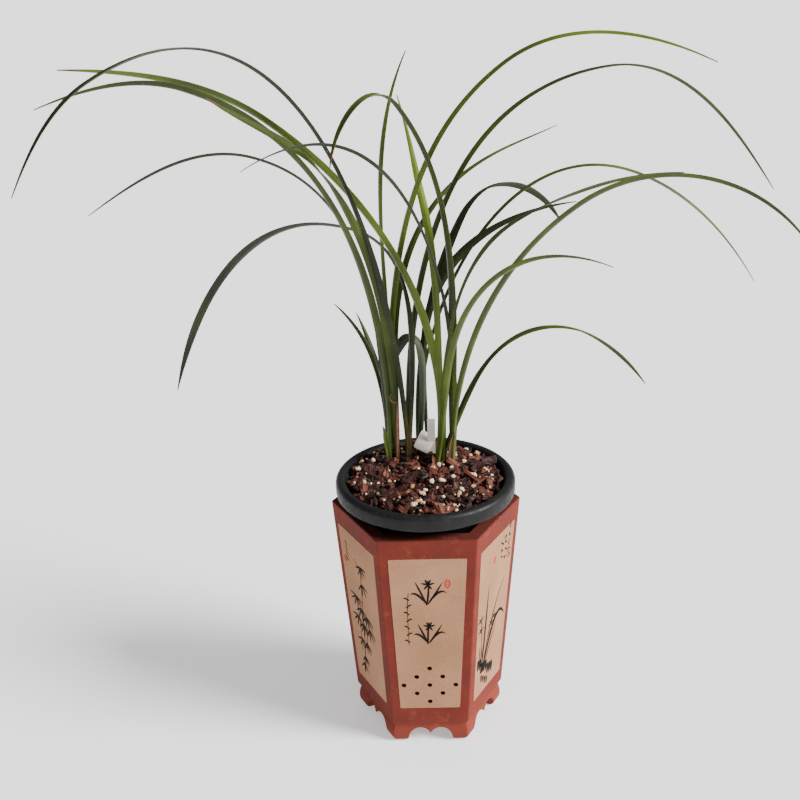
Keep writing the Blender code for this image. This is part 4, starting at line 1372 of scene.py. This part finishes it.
bamboo_side = "left"
bamboo = [
    stem(bamboo_side, [(-7, 181), (-2, 176), (3, 170)], 0.7),
    stem(bamboo_side, [(3, 172), (1, 150), (-2, 120)], 0.9),
    stem(bamboo_side, [(-2, 119), (-4, 100), (-6, 82)], 1.1),
    stem(bamboo_side, [(-6, 81), (-9, 66), (-11, 52)], 1.2),
    stem(bamboo_side, [(-11, 122), (-9, 100), (-12, 76)], 0.8),
    stem(bamboo_side, [(4, 112), (2, 98), (-1, 84)], 0.8),
]
for x, z, spread, length, count, lean in (
    (3, 177, 150, 13, 5, 12),
    (2, 158, 110, 14, 4, 18),
    (-12, 138, 160, 14, 6, -8),
    (-5, 128, 120, 15, 5, 5),
    (5, 124, 110, 16, 5, 12),
    (-13, 116, 130, 14, 5, -12),
    (-3, 112, 100, 15, 5, 0),
    (8, 112, 90, 15, 4, 16),
    (-1, 92, 80, 14, 4, 14),
    (-10, 92, 110, 13, 4, -6),
    (-8, 72, 90, 12, 4, 10),
    (-12, 62, 80, 12, 3, 0),
):
    bamboo += leaf_marks(bamboo_side, x, z, spread, length, count, lean)
for row in range(4):
    down = row * 5.5
    level = [(-23, 192 - down), (-20.5, 190 - down), (-18.5, 188.4 - down)]
    bamboo.append((bamboo_side, level, (0.7, 1.3, 0.2)))
    bamboo.append((bamboo_side, [(-21.2, 191.6 - down), (-21.0, 188 - down)], (1.0, 0.8, 0.2)))

grass_side = "right"
grass = [
    (grass_side, [(-14, 66), (-8, 110), (6, 140), (22, 152)], (0.8, 1.7, 0.1)),
    (grass_side, [(-16, 66), (-14, 100), (-13, 130), (-12, 160)], (1.6, 2.9, 0.1)),
    (grass_side, [(-13, 66), (-6, 100), (8, 130), (18, 121), (26, 108)], (0.7, 4.2, 0.2)),
    (grass_side, [(-12, 66), (-4, 88), (4, 100), (9, 108)], (0.6, 1.4, 0.1)),
    (grass_side, [(-17, 66), (-21, 84), (-23, 100)], (0.6, 1.5, 0.1)),
    (grass_side, [(-18, 66), (-18, 88), (-20, 112)], (0.5, 1.2, 0.1)),
    stem(grass_side, [(-14, 70), (-19, 100), (-23, 124)], 0.6),
    stem(grass_side, [(-12, 76), (-6, 96), (-2, 108)], 0.6),
]
for x, z, size in ((-24, 128, 6.5), (-22, 116, 6.0), (-1, 112, 6.5), (4, 117, 5.0)):
    for angle in (20, 75, 130, 175, 300):
        turn = math.radians(angle)
        end = (x + size * math.cos(turn), z + size * math.sin(turn))
        grass.append((grass_side, [(x, z), ((x + end[0]) / 2, (z + end[1]) / 2 + 1), end], (0.5, 1.3, 0.2)))
for place in range(8):
    x = -24 + place * 4.2
    level = 79 - (x + 24) * 0.69 + 2 * math.sin(place * 2.1)
    grass.append((grass_side, [(x, level + 6), (x + 1.2, level), (x + 0.5, level - 6)], (3.0, 4.0, 1.8)))
for place in range(4):
    x = -15 + place * 4
    level = 60 - (x + 17) * 0.75
    grass.append((grass_side, [(x, level + 4), (x + 0.8, level), (x, level - 4)], (2.2, 3.0, 1.2)))
for column in range(3):
    for row in range(5 - column):
        x, z = 24 - column * 7 + chance.uniform(-1, 1), 203 - row * 7.5 - column * 5
        for mark in range(3):
            turn = chance.uniform(-2.4, 0.4)
            start = (x + chance.uniform(-1.6, 1.6), z + chance.uniform(-1.6, 1.6))
            end = (start[0] + 3.4 * math.cos(turn), start[1] + 3.4 * math.sin(turn))
            grass.append((grass_side, [start, end], (1.3, 1.1, 0.2)))


def sprig(side, x, z, size, lean):
    """A bold brush sprig: a curved stem, arching leaves and a flower of six short petals."""
    marks = [(side, [(x - size * 0.1, z - size), (x + lean, z), (x, z + size * 0.9)], (1.3, 1.7, 0.7))]
    for foot, pull, end, widths in (
        ((-0.1, -0.9), (-0.8, 0.2), (-1.1, -0.2), (1.0, 2.2, 0.1)),
        ((0, -0.9), (0.7, 0.4), (1.15, -0.1), (1.0, 2.3, 0.1)),
        ((0, -0.9), (0.5, -0.1), (0.9, 0.75), (0.8, 1.8, 0.1)),
        ((-0.1, -0.9), (-0.5, 0.1), (-0.8, 0.8), (0.8, 1.7, 0.1)),
    ):
        places = [(x + size * across, z + size * up) for across, up in (foot, pull, end)]
        marks.append((side, places, widths))
    for angle in (15, 65, 115, 165, 235, 305):
        turn = math.radians(angle)
        middle = (x, z + size * 0.55)
        end = (middle[0] + size * 0.42 * math.cos(turn), middle[1] + size * 0.42 * math.sin(turn))
        marks.append((side, [middle, end], (0.9, 1.8, 0.5)))
    return marks


TWIG_X = -17.8  # mm, where the thin twig stands beside the sprigs
front_marks = sprig("front", 0, 171, 14, 1.5) + sprig("front", 0.5, 127, 12.5, -1.5)
front_marks.append(stem("front", [(-17, 170), (-19, 150), (-17.5, 132), (-17.5, 113)], 0.6))
for row in range(7):
    z = 166 - row * 7.6
    way = 1 if row % 2 else -1
    longer = [(TWIG_X, z - 3), (TWIG_X + 2 * way, z), (TWIG_X + 3.8 * way, z - 1.5)]
    front_marks.append(("front", longer, (0.5, 1.5, 0.1)))
    front_marks.append(("front", [(TWIG_X, z - 4), (TWIG_X - 1.6 * way, z - 2.6)], (0.8, 1.2, 0.3)))
for name, marks in (
    ("bamboo_painting", bamboo),
    ("orchid_grass_painting", grass),
    ("front_sprigs", front_marks),
):
    painted(name, INK, marks)
for side, name, strokes in (
    ("back_right", "back_bamboo", bamboo),
    ("back_left", "back_orchid_grass", grass),
    ("back", "back_sprigs", front_marks),
):
    painted(name, INK, [(side, *given[1:]) for given in strokes])


def seal(side, x, z, half_width, half_height):
    """A plain oval ring with two bars in it."""
    turns = np.linspace(0, 2 * math.pi, 13)
    ring = [(x + half_width * math.cos(turn), z + half_height * math.sin(turn)) for turn in turns]
    marks = [(side, [start, end], (1.0, 1.0, 1.0)) for start, end in zip(ring, ring[1:])]
    for height in (z + half_height * 0.3, z - half_height * 0.3):
        bar = [(x - half_width * 0.5, height), (x + half_width * 0.5, height)]
        marks.append((side, bar, (0.7, 0.8, 0.7)))
    return marks


seals = []
for side, x, z, half_width, half_height in (
    ("front", 16.8, 179.5, 2.1, 4.2),
    ("left", -25.2, 172, 1.6, 3.4),
    ("right", -4.3, 182.5, 1.6, 3.6),
    ("back", 16.8, 179.5, 2.1, 4.2),
):
    seals += seal(side, x, z, half_width, half_height)
painted("seals", SEAL_RED, seals)

# %% [markdown]
# The pot stands on a plain pale floor in soft studio light: one broad light high on the right, as from
# a large window, and a bright even surround that opens the shade. The camera looks down on it from the
# front, and its numbers are a place, a way of facing and a focal length.

# %% Floor, light and camera
WHITE = (1, 1, 1, 1)
FLOOR_REACH = 60  # metres to each side
FLOOR_GLOW, SURROUND = 0.45, 0.45  # strengths of the floor's own light and of the light all round


def matte(name, tone):
    paint = Finish(name, 0.9, 0.2)
    paler = tuple(min(1, value * 1.01) for value in tone)
    paint.colour(paint.ramp(paint.noise(paint.place(), 3.0), [(0.3, tone), (0.7, paler)]))
    paint.shader.inputs["Emission Color"].default_value = WHITE
    paint.shader.inputs["Emission Strength"].default_value = FLOOR_GLOW
    return paint.material


sheet = mesh_of("floor", lambda bm: bmesh.ops.create_grid(bm, x_segments=2, y_segments=2, size=FLOOR_REACH))
floor = add_object("floor", sheet, matte("floor_paint", (0.88, 0.88, 0.88)))

world = bpy.data.worlds.new("studio")
bpy.context.scene.world = world
world.use_nodes = True
world.node_tree.nodes["Background"].inputs["Color"].default_value = WHITE
world.node_tree.nodes["Background"].inputs["Strength"].default_value = SURROUND

SUN_AROUND, SUN_UP = math.radians(-17), math.radians(33)
SUN_STRENGTH, SUN_SOFTNESS = 8.0, math.radians(24)
sun_data = bpy.data.lights.new("key", "SUN")
sun_data.energy = SUN_STRENGTH
sun_data.angle = SUN_SOFTNESS
sun = bpy.data.objects.new("key", sun_data)
sun_way = Vector(
    (math.cos(SUN_AROUND) * math.cos(SUN_UP), math.sin(SUN_AROUND) * math.cos(SUN_UP), math.sin(SUN_UP))
)
sun.rotation_euler = sun_way.to_track_quat("Z", "Y").to_euler()
bpy.context.scene.collection.objects.link(sun)

CAMERA_PLACE = spot(-3.74, -849.8, 685.0)
AROUND, DOWN, ROLLED = 1.127, 23.186, -1.718  # degrees
LENS = 48.1

around, down, rolled = (math.radians(value) for value in (AROUND, DOWN, ROLLED))
back = Vector((math.sin(around) * math.cos(down), -math.cos(around) * math.cos(down), math.sin(down)))
level = (-back).cross(Vector((0, 0, 1))).normalized()
upright = level.cross(-back)
right = math.cos(rolled) * level + math.sin(rolled) * upright
top = math.cos(rolled) * upright - math.sin(rolled) * level
camera_data = bpy.data.cameras.new("camera")
camera_data.lens = LENS
camera_data.sensor_width = 36
camera = bpy.data.objects.new("camera", camera_data)
facing = Matrix((right, top, back)).transposed()
camera.matrix_world = Matrix.Translation(CAMERA_PLACE) @ facing.to_4x4()
bpy.context.scene.collection.objects.link(camera)
bpy.context.scene.camera = camera
print("camera at", [round(value, 3) for value in CAMERA_PLACE])

# %% [markdown]

print("scene built")
